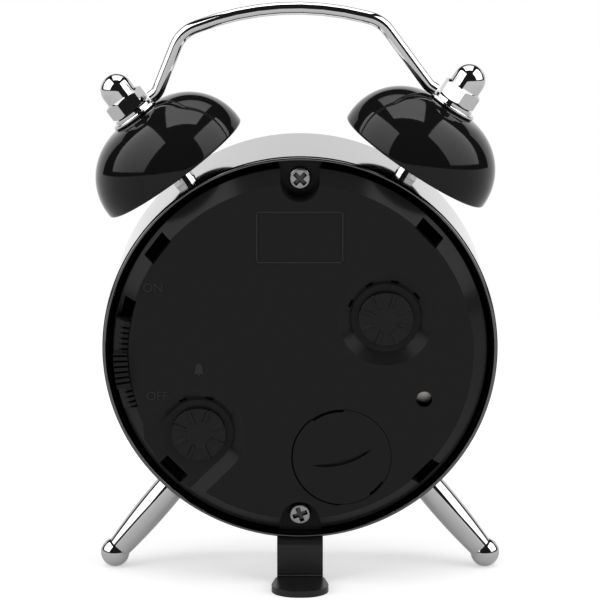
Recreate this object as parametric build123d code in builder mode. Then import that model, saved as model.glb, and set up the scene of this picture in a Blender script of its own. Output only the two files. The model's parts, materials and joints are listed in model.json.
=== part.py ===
from build123d import *
import os
from math import atan2, cos, degrees, hypot, radians, sin, sqrt

# Mini twin-bell quartz alarm clock.
# Pieces are drawn as seen from behind: X right, Y up, Z out of the back.
# The origin is the centre of the rear rim.
# Each finished piece is then leaned back and stood on the floor, with +Z up and the dial facing -Y.

# Clearances
fit_gap = 0.05
running_gap = 0.05
seat_gap = 0.02
layer_gap = 0.35
quarter_turn = 90.0

# Case drum
drum_radius = 29.5
drum_depth = 20.0
drum_wall = 0.5
drum_front_round = 0.8
drum_rear_round = 0.2
front_lip_thickness = 0.6
front_lip_width = 2.1
lean = 5.0

# Lens, dial and the frame that carries the movement
lens_thickness = 1.2
dial_ring_depth = 4.3
dial_ring_wall = 2.3
dial_thickness = 0.5
dial_hole_gap = 0.4
frame_wall = 1.0
frame_ring_wall = 1.6

# Back cover
cover_proud = 1.8
cover_wall = 1.6
groove_width = 0.95
bevel_run = 2.1
bevel_foot_height = 1.8
bevel_wall = 1.0
groove_depth = 2.0
flange_thickness = 0.9
cover_screw_inset = 1.9
cover_screw_radius = 0.8
cover_screw_length = 4.1
screw_head_radius = 1.55
screw_head_height = 1.1
screw_cross_length = 1.9
screw_cross_width = 0.45
screw_cross_depth = 0.6
notch_radius = 2.9
notch_wall = 0.8
boss_radius = 2.2
boss_length = 4.5
slot_length = 4.4
slot_width = 1.8
slot_inset = 1.5
slot_angles = (142.6, 43.9, 223.8, 315.7)

# Setting knobs and their dishes
time_spot = (12.8, 5.3)
alarm_spot = (-15.25, -12.6)
dish_depth = 1.15
dish_floor_radius = 5.2
dish_mouth_radius = 7.05
dish_wall = 0.5
dish_floor_wall = 1.0
channel_angle = 225.0
knob_radius = 4.1
knob_lift = 0.15
knob_rib_count = 8
knob_rib_height = 0.3
knob_rib_width = 0.55
knob_rib_length = 2.2
time_rib_turn = 25.0
alarm_rib_turn = 22.5
arbor_radius = 1.0
arbor_grip = 0.5
pivot_radius = 0.5

# Battery door, button cell and its contacts
door_spot = (6.3, -16.1)
door_radius = 7.4
door_thickness = 1.1
door_gap = 0.1
door_hub_wall = 0.5
door_ledge_width = 0.9
door_ledge_thickness = 0.9
door_boss_wall = 1.1
door_twist = 40.0
door_lug_reach = 0.65
door_lug_height = 0.5
door_lug_arc = 30.0
lug_play = 3.0
door_lug_angles = (60.0, 240.0)
door_notch_depth = 0.35
door_notches = ((88.0, 127.0), (306.0, 328.0))
coin_slot_length = 9.6
coin_slot_width = 0.7
coin_slot_depth = 0.6
coin_slot_bow = 0.5
coin_slot_turn = 16.0
cell_radius = 5.8
cell_height = 5.4
cell_play = 0.3
cell_edge_round = 0.3
cup_wall = 0.8
cup_drop = 0.6
contact_thickness = 0.2
contact_strip_width = 3.0
contact_strip_length = 8.0
contact_dimple_radius = 1.5
contact_dimple_height = 0.35
plus_contact_arc = 40.0
plus_contact_angle = 120.0

# Alarm on/off slide
slide_angle = 180.0
slide_slot_half_arc = 18.5
slide_slot_margin = 0.1
slide_slot_width = 2.3
slide_start_angle = 169.0
slide_end_angle = 198.2
slide_tab_start = 179.4
slide_tab_end = 190.8
slide_gap = 0.1
slide_flange_reach = 2.2
slide_flange_drop = 0.1
slide_flange_thickness = 0.55
slide_top_height = 1.7
slide_edge_height = 0.6
slide_top_width = 0.9
slide_tab_rise = 0.9
slide_rib_step = 1.8
slide_rib_groove = 0.7
slide_rib_depth = 0.4

# Buzzer
buzzer_spot = (18.6, -7.0)
buzzer_radius = 5.2
buzzer_thickness = 0.5
buzzer_ring_width = 1.2
buzzer_drop = 0.9
sound_hole_radius = 1.2
lead_radius = 0.25
lead_spacing = 1.2
lead_bend = 0.6
lead_start = (-2.2, 2.0)
lead_end_inset = 3.6

# Movement plates and pillars
plate_rim_gap = 4.85
middle_plate_thickness = 0.7
rear_plate_thickness = 0.8
pillar_spots = ((15.6, -10.9), (-16.5, 9.5), (9.5, 17.0), (-2.6, -18.8))
pillar_radius = 1.3
movement_screw_radius = 0.5
movement_screw_head_radius = 1.0
movement_screw_head_height = 0.7
movement_screw_reach = 2.2

# Gear teeth
wheel_thickness = 0.5
tooth_addendum = 0.8
tooth_dedendum = 1.1
tooth_fill = 0.84
tooth_tip_share = 0.5
tooth_root_share = 1.2
setting_wheel_teeth = 42
cannon_teeth = 14
setting_pinion_teeth = 12
hour_wheel_teeth = 48
alarm_pinion_teeth = 16
alarm_wheel_teeth = 64
second_pinion_teeth = 8
third_wheel_teeth = 60
third_pinion_teeth = 8
center_wheel_teeth = 64
intermediate_pinion_teeth = 8
second_wheel_teeth = 40
rotor_pinion_teeth = 8
intermediate_wheel_teeth = 48
third_distance = 8.5
third_angle = 215.0
intermediate_distance = 8.4
intermediate_angle = 100.0
rotor_distance = 7.0
rotor_angle = 170.0

# Concentric shafts at the centre
second_arbor_radius = 0.4
pipe_wall = 0.4
train_arbor_radius = 0.4
pivot_inset = 0.1

# Stepping motor
magnet_radius = 1.6
magnet_height = 0.8
magnet_gap = 0.3
stator_thickness = 0.8
stator_left = 6.4
stator_right = 5.7
stator_bottom = 2.6
stator_leg = 2.4
stator_rise = 2.6
core_rise = 6.0
core_width = 1.6
coil_bore_wall = 0.4
coil_flange_radius = 2.3
coil_flange_thickness = 0.6
coil_winding_radius = 2.05
coil_window_gap = 0.4

# Circuit board
board_center = (-7.75, 4.0)
board_width = 13.5
board_height = 14.0
board_thickness = 0.8
chip_offset = (2.2, -2.5)
chip_radius = 2.3
chip_height = 0.9
crystal_offset = (-3.4, 3.6)
crystal_radius = 1.0
crystal_length = 6.0
switch_contact_gap = 0.3
switch_contact_overlap = 1.5
switch_contact_width = 2.0

# Hands
hand_gap = 0.5
hand_pitch = 0.7
hand_thickness = 0.3
hand_tip_share = 0.35
hub_wall = 0.9
pipe_show = 0.1
hour_hand_length = 13.5
hour_hand_width = 2.0
minute_hand_length = 20.0
minute_hand_width = 1.6
second_hand_length = 21.0
second_hand_tail = 6.0
second_hand_width = 0.6
alarm_hand_length = 10.5
alarm_hand_width = 0.9
hour_hand_angle = 304.8
minute_hand_angle = 57.6
second_hand_angle = 216.0
alarm_hand_angle = 210.0

# Bells, studs and nuts
post_depth = 10.0
bell_spread = 34.4
bell_set_turn = 1.6
bell_radius = 12.3
bell_height = 9.9
bell_wall = 0.7
bell_skirt = 0.8
bell_seat_margin = 1.3
bell_gap = 2.4
bell_post_radius = 1.7
stud_radius = 1.25
stud_tip = 0.4
inner_nut_flats = 4.5
inner_nut_height = 2.0
nut_turn = 30.0
washer_radius = 3.1
washer_thickness = 0.4
cap_nut_flats = 5.5
cap_nut_hex_height = 2.6
cap_nut_dome_radius = 2.45
cap_nut_height = 6.3
cap_nut_thread_depth = 4.4

# Carrying handle
wire_radius = 0.97
eye_radius = 3.8
eye_thickness = 0.7
handle_turn = 3.4
handle_run = 4.6
handle_wire_start = 3.4
shoulder_rise = 4.6
shoulder_reach = 14.95
arch_rise = 4.8
handle_low_bend = 2.5
handle_high_bend = 5.0
arch_bend = 41.0

# Legs
leg_spread = 39.3
leg_length = 16.2
leg_base_radius = 2.25
leg_swell_radius = 2.35
leg_swell_share = 0.35
leg_neck_radius = 1.85
leg_ball_radius = 2.25
leg_stud_radius = 1.0
leg_nut_flats = 4.0
leg_nut_height = 1.6

# Rear foot
foot_width = 7.0
foot_thickness = 1.0
foot_flange_front = 13.5
foot_flange_rear = 0.9
foot_bend_radius = 1.2
foot_lean = 0.4
pad_length = 9.2
pad_width = 10.0
pad_root_width = 7.4
pad_root_length = 2.4
pad_corner = 3.9
foot_screw_radius = 1.0
foot_screw_head_radius = 1.9
foot_screw_head_height = 1.1

# Depth stack behind the front lip, front to back
lens_front = front_lip_thickness - drum_depth
lens_rear = lens_front + lens_thickness
dial_front = lens_rear + dial_ring_depth
wall_front = dial_front + dial_thickness
wall_rear = wall_front + frame_wall
alarm_layer = wall_rear + layer_gap
hour_layer = alarm_layer + wheel_thickness + layer_gap
cannon_layer = hour_layer + wheel_thickness + layer_gap
center_layer = cannon_layer + wheel_thickness + layer_gap
middle_front = center_layer + wheel_thickness + layer_gap
middle_rear = middle_front + middle_plate_thickness
third_layer = middle_rear + layer_gap
second_layer = third_layer + wheel_thickness + layer_gap
intermediate_layer = second_layer + wheel_thickness + layer_gap
rear_plate_front = intermediate_layer + wheel_thickness + layer_gap
rear_plate_rear = rear_plate_front + rear_plate_thickness
board_rear = rear_plate_rear + board_thickness

# Radii and levels of the case and the cover
drum_inner = drum_radius - drum_wall
frame_radius = drum_inner - fit_gap
frame_inner = frame_radius - frame_ring_wall
plate_rim_radius = frame_inner - plate_rim_gap
bevel_radius = frame_radius - groove_width
plate_radius = bevel_radius - bevel_run
cover_screw_distance = bevel_radius - cover_screw_inset
slot_distance = bevel_radius - slot_inset
slide_slot_outer = bevel_radius - slide_slot_margin
slide_slot_inner = slide_slot_outer - slide_slot_width
slide_flange_inner = slide_slot_inner - slide_flange_reach
groove_floor = -groove_depth
cover_seat = groove_floor - flange_thickness
cover_inside = cover_proud - cover_wall
bevel_foot = groove_floor + bevel_foot_height
cover_foot_inner = bevel_radius - bevel_wall
cover_plate_inner = plate_radius - bevel_wall
dish_floor = cover_proud - dish_depth
dish_inside = dish_floor - dish_floor_wall
screw_spots = ((0, cover_screw_distance), (0, -cover_screw_distance))

# Battery door levels
door_floor = cover_proud - door_thickness
ledge_inside = door_floor - door_ledge_thickness
door_opening = door_radius + door_gap
ledge_radius = door_opening - door_ledge_width
door_hub_radius = ledge_radius - door_gap
lug_rear = ledge_inside - running_gap
lug_front = lug_rear - door_lug_height
cell_rear = ledge_inside - 2 * running_gap
cell_front = cell_rear - cell_height
cup_floor_rear = cell_front - contact_dimple_height - contact_thickness
cup_floor_front = cup_floor_rear - cup_wall
cup_radius = cell_radius + cell_play + cup_wall
cup_rear = lug_front - running_gap - cup_drop

# Buzzer levels
buzzer_rear = cover_inside - buzzer_drop
buzzer_front = buzzer_rear - buzzer_thickness

# Gear spots and modules, from the places of the arbors
time_distance = hypot(*time_spot)
alarm_distance = hypot(*alarm_spot)
time_angle = degrees(atan2(time_spot[1], time_spot[0]))
alarm_angle = degrees(atan2(alarm_spot[1], alarm_spot[0]))
third_spot = (third_distance * cos(radians(third_angle)), third_distance * sin(radians(third_angle)))
intermediate_spot = (
    intermediate_distance * cos(radians(intermediate_angle)),
    intermediate_distance * sin(radians(intermediate_angle)),
)
rotor_spot = (
    intermediate_spot[0] + rotor_distance * cos(radians(rotor_angle)),
    intermediate_spot[1] + rotor_distance * sin(radians(rotor_angle)),
)


def mesh_module(distance, wheel_teeth, pinion_teeth):
    """Module that puts a wheel and a pinion in mesh at a centre distance."""
    return 2 * distance / (wheel_teeth + pinion_teeth)


setting_module = mesh_module(time_distance, setting_wheel_teeth, cannon_teeth)
hour_module = mesh_module(time_distance, hour_wheel_teeth, setting_pinion_teeth)
alarm_module = mesh_module(alarm_distance, alarm_wheel_teeth, alarm_pinion_teeth)
third_module = mesh_module(third_distance, third_wheel_teeth, second_pinion_teeth)
center_module = mesh_module(third_distance, center_wheel_teeth, third_pinion_teeth)
second_module = mesh_module(intermediate_distance, second_wheel_teeth, intermediate_pinion_teeth)
intermediate_module = mesh_module(rotor_distance, intermediate_wheel_teeth, rotor_pinion_teeth)

# Concentric pipes, inside out, and the level that each hand rides at
minute_pipe_inner = second_arbor_radius + running_gap
minute_pipe_outer = minute_pipe_inner + pipe_wall
hour_pipe_inner = minute_pipe_outer + running_gap
hour_pipe_outer = hour_pipe_inner + pipe_wall
alarm_pipe_inner = hour_pipe_outer + running_gap
alarm_pipe_outer = alarm_pipe_inner + pipe_wall
alarm_hand_rear = dial_front - hand_gap
hour_hand_rear = alarm_hand_rear - hand_pitch
minute_hand_rear = hour_hand_rear - hand_pitch
second_hand_rear = minute_hand_rear - hand_pitch

# Bell and handle levels, as distances from the case axis
bell_flat_radius = bell_post_radius + bell_seat_margin
bell_rim = drum_radius + bell_gap
bell_apex = bell_rim + bell_height
skirt_level = bell_rim + bell_skirt
eye_top = bell_apex + eye_thickness
washer_top = eye_top + washer_thickness
stud_top = washer_top + cap_nut_thread_depth - stud_tip
stud_bottom = frame_inner - inner_nut_height - stud_tip
wire_level = bell_apex + wire_radius + running_gap
bell_angles = (quarter_turn + bell_spread + bell_set_turn, quarter_turn - bell_spread + bell_set_turn)
foot_angle = 3 * quarter_turn
leg_angles = (foot_angle - leg_spread, foot_angle + leg_spread)
leg_ball_level = drum_radius + leg_length

# Stance: the leg balls and the rear foot stand on the floor
lean_sin = sin(radians(lean))
lean_cos = cos(radians(lean))
ball_drop = leg_ball_level * cos(radians(leg_spread))
stand_height = ball_drop * lean_cos - post_depth * lean_sin + leg_ball_radius
pad_start = foot_lean - foot_flange_rear
front_corner = (drum_radius - drum_front_round) * lean_sin + (drum_depth - drum_front_round) * lean_cos
front_reach = -front_corner - drum_front_round
plate_top = sqrt(plate_radius ** 2 - notch_radius ** 2)
cover_reach = plate_top * lean_sin + cover_proud * lean_cos
pad_reach = pad_start / lean_cos - stand_height * lean_sin / lean_cos + pad_length
row_shift = -(front_reach + max(cover_reach, pad_reach)) / 2
stance = Plane(
    origin=(0, row_shift, stand_height), x_dir=(-1, 0, 0), z_dir=(0, lean_cos, -lean_sin)
).location


def save(piece, name):
    """Stand a finished piece on the floor, label it and write its file."""
    placed = piece.moved(stance)
    placed.label = name
    export_step(placed, f"parts/{name}.step")


def cover_lining(radius):
    """Depth of the cover's sloping inner face at a radius."""
    slope = (cover_inside - cover_seat) / (cover_foot_inner - cover_plate_inner)
    return cover_seat + (cover_foot_inner - radius) * slope


def nut_level(flats):
    """Distance from the case axis at which a nut's corners meet the frame's ring wall."""
    return sqrt(frame_inner ** 2 - flats ** 2 / 3) - seat_gap


def radial_direction(angle):
    """Unit vector from the case axis, at an angle seen from behind."""
    return (cos(radians(angle)), sin(radians(angle)), 0)


def radial_axis(angle):
    """Axis of a stud or leg, square to the case axis."""
    return Axis((0, 0, -post_depth), radial_direction(angle))


def radial_profile(angle):
    """Sketch plane through a radial axis: x is the radius from it, y the distance from the case axis."""
    across = (-sin(radians(angle)), cos(radians(angle)), 0)
    return Plane(origin=(0, 0, -post_depth), x_dir=(0, 0, 1), z_dir=across)


def radial_face(angle, distance):
    """Sketch plane square to a radial axis, at a distance from the case axis."""
    toward = radial_direction(angle)
    return Plane(
        origin=(distance * toward[0], distance * toward[1], -post_depth), x_dir=(0, 0, 1), z_dir=toward
    )


def sector_plane(angle, spot=(0, 0)):
    """Sketch plane through an upright axis at a spot: x is the radius, y the depth."""
    across = (sin(radians(angle)), -cos(radians(angle)), 0)
    return Plane(origin=(spot[0], spot[1], 0), x_dir=radial_direction(angle), z_dir=across)


def upright_axis(spot):
    """Axis through a spot, parallel to the case axis."""
    return Axis((spot[0], spot[1], 0), (0, 0, 1))


def gear_outline(teeth, module, phase):
    """Outline of a spur gear with straight-flanked teeth, one of them pointing along the phase angle."""
    pitch = module * teeth / 2
    root = pitch - tooth_dedendum * module
    tip = pitch + tooth_addendum * module
    half_tooth = 90 / teeth * tooth_fill
    flank = ((-tooth_root_share, root), (-1, pitch), (-tooth_tip_share, tip))
    profile = flank + tuple((-share, radius) for share, radius in reversed(flank))
    points = []
    for tooth in range(teeth):
        for share, radius in profile:
            angle = radians(phase + 360 / teeth * tooth + share * half_tooth)
            points.append((radius * cos(angle), radius * sin(angle)))
    with BuildSketch(Plane.XY) as outline:
        with BuildLine():
            Polyline(*points, close=True)
        make_face()
    return outline.sketch


def gap_phase(angle, teeth):
    """Phase that turns a gap between two teeth towards an angle."""
    return angle + 180 / teeth


def hand_outline(length, width, tail, hub_radius, bore_radius, clock_angle):
    """Outline of a clock hand round its pipe, turned clockwise as seen on the dial."""
    with BuildSketch(Plane.XY.rotated((0, 0, clock_angle))) as outline:
        with BuildLine():
            Polyline(
                (-width / 2, -tail),
                (width / 2, -tail),
                (width / 2, length * (1 - hand_tip_share)),
                (0, length),
                (-width / 2, length * (1 - hand_tip_share)),
                close=True,
            )
        make_face()
        Circle(hub_radius)
        Circle(bore_radius, mode=Mode.SUBTRACT)
    return outline.sketch


os.makedirs("parts", exist_ok=True)

wall_holes = [(angle, stud_radius) for angle in bell_angles]
wall_holes += [(angle, leg_stud_radius) for angle in leg_angles]
wall_holes += [(foot_angle, foot_screw_radius)]

# Drum: a thin sheet-metal tube with a lip round the lens
with BuildPart() as case_drum:
    with BuildSketch(Plane.XZ) as drum_profile:
        with BuildLine():
            Polyline(
                (drum_radius, 0),
                (drum_radius, -drum_depth),
                (drum_inner - front_lip_width, -drum_depth),
                (drum_inner - front_lip_width, lens_front),
                (drum_inner, lens_front),
                (drum_inner, 0),
                close=True,
            )
        make_face()
        fillet(drum_profile.vertices().sort_by_distance((drum_radius, -drum_depth))[0], drum_front_round)
        fillet(drum_profile.vertices().group_by(Axis.Y)[-1], drum_rear_round)
    revolve(axis=Axis.Z)
    for angle, radius in wall_holes:
        with BuildSketch(radial_face(angle, frame_inner)):
            Circle(radius + running_gap)
        extrude(amount=drum_radius - frame_inner + drum_wall, mode=Mode.SUBTRACT)
save(case_drum.part, "case_drum")

# Lens behind the lip
with BuildPart() as lens:
    with BuildSketch(Plane.XY.offset(lens_front)):
        Circle(frame_radius)
    extrude(amount=lens_thickness)
save(lens.part, "lens")

# Spacer ring between lens and dial
with BuildPart() as dial_ring:
    with BuildSketch(Plane.XY.offset(lens_rear)):
        Circle(frame_radius)
        Circle(frame_radius - dial_ring_wall, mode=Mode.SUBTRACT)
    extrude(amount=dial_ring_depth)
save(dial_ring.part, "dial_ring")

# Dial
with BuildPart() as dial_plate:
    with BuildSketch(Plane.XY.offset(dial_front)):
        Circle(frame_radius)
        Circle(alarm_pipe_outer + dial_hole_gap, mode=Mode.SUBTRACT)
    extrude(amount=dial_thickness)
save(dial_plate.part, "dial_plate")

# Movement frame: front wall, ring wall, cover bosses and pillars
with BuildPart() as movement_frame:
    with BuildSketch(Plane.XY.offset(wall_front)):
        Circle(frame_radius)
    extrude(amount=frame_wall)
    with BuildSketch(Plane.XY.offset(wall_rear)):
        Circle(frame_radius)
        Circle(frame_inner, mode=Mode.SUBTRACT)
    extrude(amount=cover_seat - wall_rear)
    with BuildSketch(Plane.XY.offset(cover_seat)):
        with Locations(*screw_spots):
            Circle(boss_radius)
    extrude(amount=-boss_length)
    with BuildSketch(Plane.XY.offset(wall_rear)):
        with Locations(*pillar_spots):
            Circle(pillar_radius)
    extrude(amount=middle_front - wall_rear)
    with BuildSketch(Plane.XY.offset(cover_seat)):
        with Locations(*screw_spots):
            Circle(cover_screw_radius + seat_gap)
    extrude(amount=groove_floor - cover_seat - cover_screw_length, mode=Mode.SUBTRACT)
    with BuildSketch(Plane.XY.offset(middle_front)):
        with Locations(*pillar_spots):
            Circle(movement_screw_radius + seat_gap)
    extrude(amount=-movement_screw_reach, mode=Mode.SUBTRACT)
    with BuildSketch(Plane.XY.offset(wall_front)):
        Circle(alarm_pipe_outer + running_gap)
        with Locations(alarm_spot):
            Circle(pivot_radius + running_gap)
    extrude(amount=frame_wall, mode=Mode.SUBTRACT)
    for angle, radius in wall_holes:
        with BuildSketch(radial_face(angle, frame_inner - boss_radius)):
            Circle(radius + running_gap)
        extrude(amount=frame_radius - frame_inner + 2 * boss_radius, mode=Mode.SUBTRACT)
save(movement_frame.part, "movement_frame")

# Middle plate between the hand wheels and the going train
coil_left = rotor_spot[0] - stator_left + stator_leg
coil_right = rotor_spot[0] + stator_right - stator_leg
coil_middle = (coil_left + coil_right) / 2
coil_length = coil_right - coil_left - 2 * running_gap
core_level = rotor_spot[1] + core_rise
with BuildPart() as middle_plate:
    with BuildSketch(Plane.XY.offset(middle_front)):
        Circle(plate_rim_radius)
        with Locations((coil_middle, core_level)):
            Rectangle(coil_length, 2 * (coil_flange_radius + coil_window_gap), mode=Mode.SUBTRACT)
        Circle(second_arbor_radius + running_gap, mode=Mode.SUBTRACT)
        with Locations(time_spot, alarm_spot):
            Circle(arbor_radius + running_gap, mode=Mode.SUBTRACT)
        with Locations(third_spot, intermediate_spot, rotor_spot):
            Circle(train_arbor_radius + running_gap, mode=Mode.SUBTRACT)
    extrude(amount=middle_plate_thickness)
    with BuildSketch(Plane.XY.offset(middle_rear)):
        with Locations(*pillar_spots):
            Circle(pillar_radius)
    extrude(amount=rear_plate_front - middle_rear)
    with BuildSketch(Plane.XY.offset(middle_front)):
        with Locations(*pillar_spots):
            Circle(movement_screw_radius + running_gap)
    extrude(amount=rear_plate_front - middle_front, mode=Mode.SUBTRACT)
save(middle_plate.part, "middle_plate")

# Rear plate with the battery cup
with BuildPart() as rear_plate:
    with BuildSketch(Plane.XY.offset(rear_plate_front)):
        Circle(plate_rim_radius)
    extrude(amount=rear_plate_thickness)
    with BuildSketch(Plane.XY.offset(cup_floor_front)):
        with Locations(door_spot):
            Circle(cup_radius)
    extrude(amount=cup_rear - cup_floor_front)
    with BuildSketch(Plane.XY.offset(cup_floor_rear)):
        with Locations(door_spot):
            Circle(cup_radius - cup_wall)
    extrude(amount=cup_rear - cup_floor_rear, mode=Mode.SUBTRACT)
    with BuildSketch(Plane.XY.offset(rear_plate_front)):
        Circle(second_arbor_radius + running_gap)
        with Locations(time_spot, alarm_spot):
            Circle(arbor_radius + running_gap)
        with Locations(third_spot, intermediate_spot, rotor_spot):
            Circle(train_arbor_radius + running_gap)
        with Locations(*pillar_spots):
            Circle(movement_screw_radius + running_gap)
    extrude(amount=rear_plate_thickness, mode=Mode.SUBTRACT)
save(rear_plate.part, "rear_plate")

# Screws through both plates into the pillars
with BuildPart() as movement_screws:
    with BuildSketch(Plane.XY.offset(rear_plate_rear)):
        with Locations(*pillar_spots):
            Circle(movement_screw_head_radius)
    extrude(amount=movement_screw_head_height)
    with BuildSketch(Plane.XY.offset(rear_plate_rear)):
        with Locations(*pillar_spots):
            Circle(movement_screw_radius)
    extrude(amount=middle_front - movement_screw_reach + pivot_inset - rear_plate_rear)
save(movement_screws.part, "movement_screws")

# Back cover: a shallow moulded lid with dishes, notches, slots and the battery opening
slide_cut_start = slide_angle - slide_slot_half_arc
channel_run = radial_direction(channel_angle)
channel_plane = Plane(
    origin=(alarm_spot[0], alarm_spot[1], dish_floor),
    x_dir=(-channel_run[1], channel_run[0], 0),
    z_dir=channel_run,
)
with BuildPart() as back_cover:
    with BuildSketch(Plane.XZ):
        with BuildLine():
            Polyline(
                (0, cover_proud),
                (plate_radius, cover_proud),
                (bevel_radius, bevel_foot),
                (bevel_radius, groove_floor),
                (frame_radius, groove_floor),
                (frame_radius, cover_seat),
                (cover_foot_inner, cover_seat),
                (cover_plate_inner, cover_inside),
                (0, cover_inside),
                close=True,
            )
        make_face()
    revolve(axis=Axis.Z)
    with BuildSketch(Plane.XY.offset(dish_inside)):
        with Locations(time_spot, alarm_spot):
            Circle(dish_mouth_radius + dish_wall)
    extrude(amount=dish_floor - dish_inside)
    with BuildSketch(Plane.XY.offset(ledge_inside)):
        with Locations(door_spot):
            Circle(door_opening + door_boss_wall)
    extrude(amount=door_floor - ledge_inside)
    with BuildSketch(Plane.XY.offset(cover_seat)):
        with Locations(*screw_spots):
            Circle(notch_radius + notch_wall)
        Circle(frame_inner, mode=Mode.INTERSECT)
    extrude(amount=cover_inside - cover_seat)
    with BuildSketch(Plane.XY.offset(buzzer_rear)):
        with Locations(buzzer_spot):
            Circle(buzzer_radius)
            Circle(buzzer_radius - buzzer_ring_width, mode=Mode.SUBTRACT)
    extrude(amount=cover_inside - buzzer_rear)
    for spot in (time_spot, alarm_spot):
        with Locations((spot[0], spot[1], dish_floor + dish_depth / 2)):
            Cone(dish_floor_radius, dish_mouth_radius, dish_depth, mode=Mode.SUBTRACT)
    with BuildSketch(channel_plane):
        with BuildLine():
            Polyline(
                (-dish_floor_radius, 0),
                (dish_floor_radius, 0),
                (dish_mouth_radius, dish_depth),
                (-dish_mouth_radius, dish_depth),
                close=True,
            )
        make_face()
    extrude(amount=drum_radius, mode=Mode.SUBTRACT)
    with BuildSketch(Plane.XY.offset(dish_inside)):
        with Locations(time_spot, alarm_spot):
            Circle(arbor_radius + running_gap)
    extrude(amount=dish_floor_wall, mode=Mode.SUBTRACT)
    with BuildSketch(Plane.XY.offset(door_floor)):
        with Locations(door_spot):
            Circle(door_opening)
    extrude(amount=door_thickness, mode=Mode.SUBTRACT)
    with BuildSketch(Plane.XY.offset(ledge_inside)):
        with Locations(door_spot):
            Circle(ledge_radius)
    extrude(amount=door_ledge_thickness, mode=Mode.SUBTRACT)
    for angle in door_lug_angles:
        with BuildSketch(sector_plane(angle + door_twist - door_lug_arc / 2 - lug_play, door_spot)):
            with Locations((ledge_radius, ledge_inside)):
                Rectangle(door_lug_reach, door_ledge_thickness, align=(Align.CENTER, Align.MIN))
        revolve(
            axis=upright_axis(door_spot),
            revolution_arc=door_lug_arc + 2 * lug_play,
            mode=Mode.SUBTRACT,
        )
    with BuildSketch(Plane.XY.offset(groove_floor)):
        with Locations(screw_spots[0]):
            Circle(notch_radius)
            Rectangle(2 * notch_radius, boss_length, align=(Align.CENTER, Align.MIN))
        mirror(about=Plane.XZ)
    extrude(amount=cover_proud - groove_floor, mode=Mode.SUBTRACT)
    with BuildSketch(Plane.XY.offset(cover_seat)):
        with Locations(*screw_spots):
            Circle(cover_screw_radius + running_gap)
    extrude(amount=flange_thickness, mode=Mode.SUBTRACT)
    with BuildSketch(Plane.XY.offset(cover_seat)):
        for angle in slot_angles:
            toward = radial_direction(angle)
            slot_spot = (slot_distance * toward[0], slot_distance * toward[1], 0)
            with Locations(Location(slot_spot, (0, 0, angle))):
                Rectangle(slot_width, slot_length)
    extrude(amount=cover_proud - cover_seat, mode=Mode.SUBTRACT)
    with BuildSketch(sector_plane(slide_cut_start)):
        with Locations(((slide_slot_inner + slide_slot_outer) / 2, cover_seat)):
            Rectangle(
                slide_slot_outer - slide_slot_inner,
                cover_proud - cover_seat,
                align=(Align.CENTER, Align.MIN),
            )
    revolve(axis=Axis.Z, revolution_arc=2 * slide_slot_half_arc, mode=Mode.SUBTRACT)
    with BuildSketch(Plane.XY.offset(cover_inside)):
        with Locations(buzzer_spot):
            Circle(sound_hole_radius)
    extrude(amount=cover_wall, mode=Mode.SUBTRACT)
save(back_cover.part, "back_cover")

# Two cross-headed screws that hold the cover
with BuildPart() as cover_screws:
    with BuildSketch(Plane.XY.offset(groove_floor)):
        with Locations(*screw_spots):
            Circle(screw_head_radius)
    extrude(amount=screw_head_height)
    with BuildSketch(Plane.XY.offset(groove_floor)):
        with Locations(*screw_spots):
            Circle(cover_screw_radius)
    extrude(amount=-cover_screw_length + pivot_inset)
    with BuildSketch(Plane.XY.offset(groove_floor + screw_head_height)):
        with Locations(*screw_spots):
            Rectangle(screw_cross_length, screw_cross_width)
            Rectangle(screw_cross_width, screw_cross_length)
    extrude(amount=-screw_cross_depth, mode=Mode.SUBTRACT)
save(cover_screws.part, "cover_screws")

# Battery door with a coin slot and two bayonet lugs
coin_plane = Plane(
    origin=(door_spot[0], door_spot[1], cover_proud),
    x_dir=radial_direction(coin_slot_turn),
    z_dir=(0, 0, 1),
)
with BuildPart() as battery_door:
    with BuildSketch(Plane.XY.offset(door_floor)):
        with Locations(door_spot):
            Circle(door_radius)
    extrude(amount=door_thickness)
    with BuildSketch(Plane.XY.offset(lug_front)):
        with Locations(door_spot):
            Circle(door_hub_radius)
            Circle(door_hub_radius - door_hub_wall, mode=Mode.SUBTRACT)
    extrude(amount=door_floor - lug_front)
    for angle in door_lug_angles:
        with BuildSketch(sector_plane(angle - door_lug_arc / 2, door_spot)):
            with Locations((door_hub_radius - door_hub_wall, lug_front)):
                Rectangle(door_hub_wall + door_lug_reach / 2, door_lug_height, align=(Align.MIN, Align.MIN))
        revolve(axis=upright_axis(door_spot), revolution_arc=door_lug_arc)
    for start, end in door_notches:
        with BuildSketch(sector_plane(start, door_spot)):
            with Locations((door_radius - door_notch_depth, door_floor)):
                Rectangle(2 * door_notch_depth, door_thickness, align=(Align.MIN, Align.MIN))
        revolve(axis=upright_axis(door_spot), revolution_arc=end - start, mode=Mode.SUBTRACT)
    with BuildSketch(coin_plane):
        with BuildLine():
            ThreePointArc((-coin_slot_length / 2, 0), (0, -coin_slot_bow), (coin_slot_length / 2, 0))
            ThreePointArc(
                (-coin_slot_length / 2, 0), (0, -coin_slot_bow - coin_slot_width), (coin_slot_length / 2, 0)
            )
        make_face()
    extrude(amount=-coin_slot_depth, mode=Mode.SUBTRACT)
save(battery_door.part, "battery_door")

# Button cell
with BuildPart() as button_cell:
    with BuildSketch(Plane.XY.offset(cell_front)):
        with Locations(door_spot):
            Circle(cell_radius)
    extrude(amount=cell_height)
    fillet(button_cell.edges().filter_by(GeomType.CIRCLE), cell_edge_round)
save(button_cell.part, "button_cell")

# Spring contact under the cell
with BuildPart() as contact_minus:
    with BuildSketch(Plane.XY.offset(cup_floor_rear)):
        with Locations(door_spot):
            Rectangle(contact_strip_length, contact_strip_width)
    extrude(amount=contact_thickness)
    with BuildSketch(Plane.XY.offset(cup_floor_rear + contact_thickness)):
        with Locations(door_spot):
            Circle(contact_dimple_radius)
    extrude(amount=contact_dimple_height)
save(contact_minus.part, "contact_minus")

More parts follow.
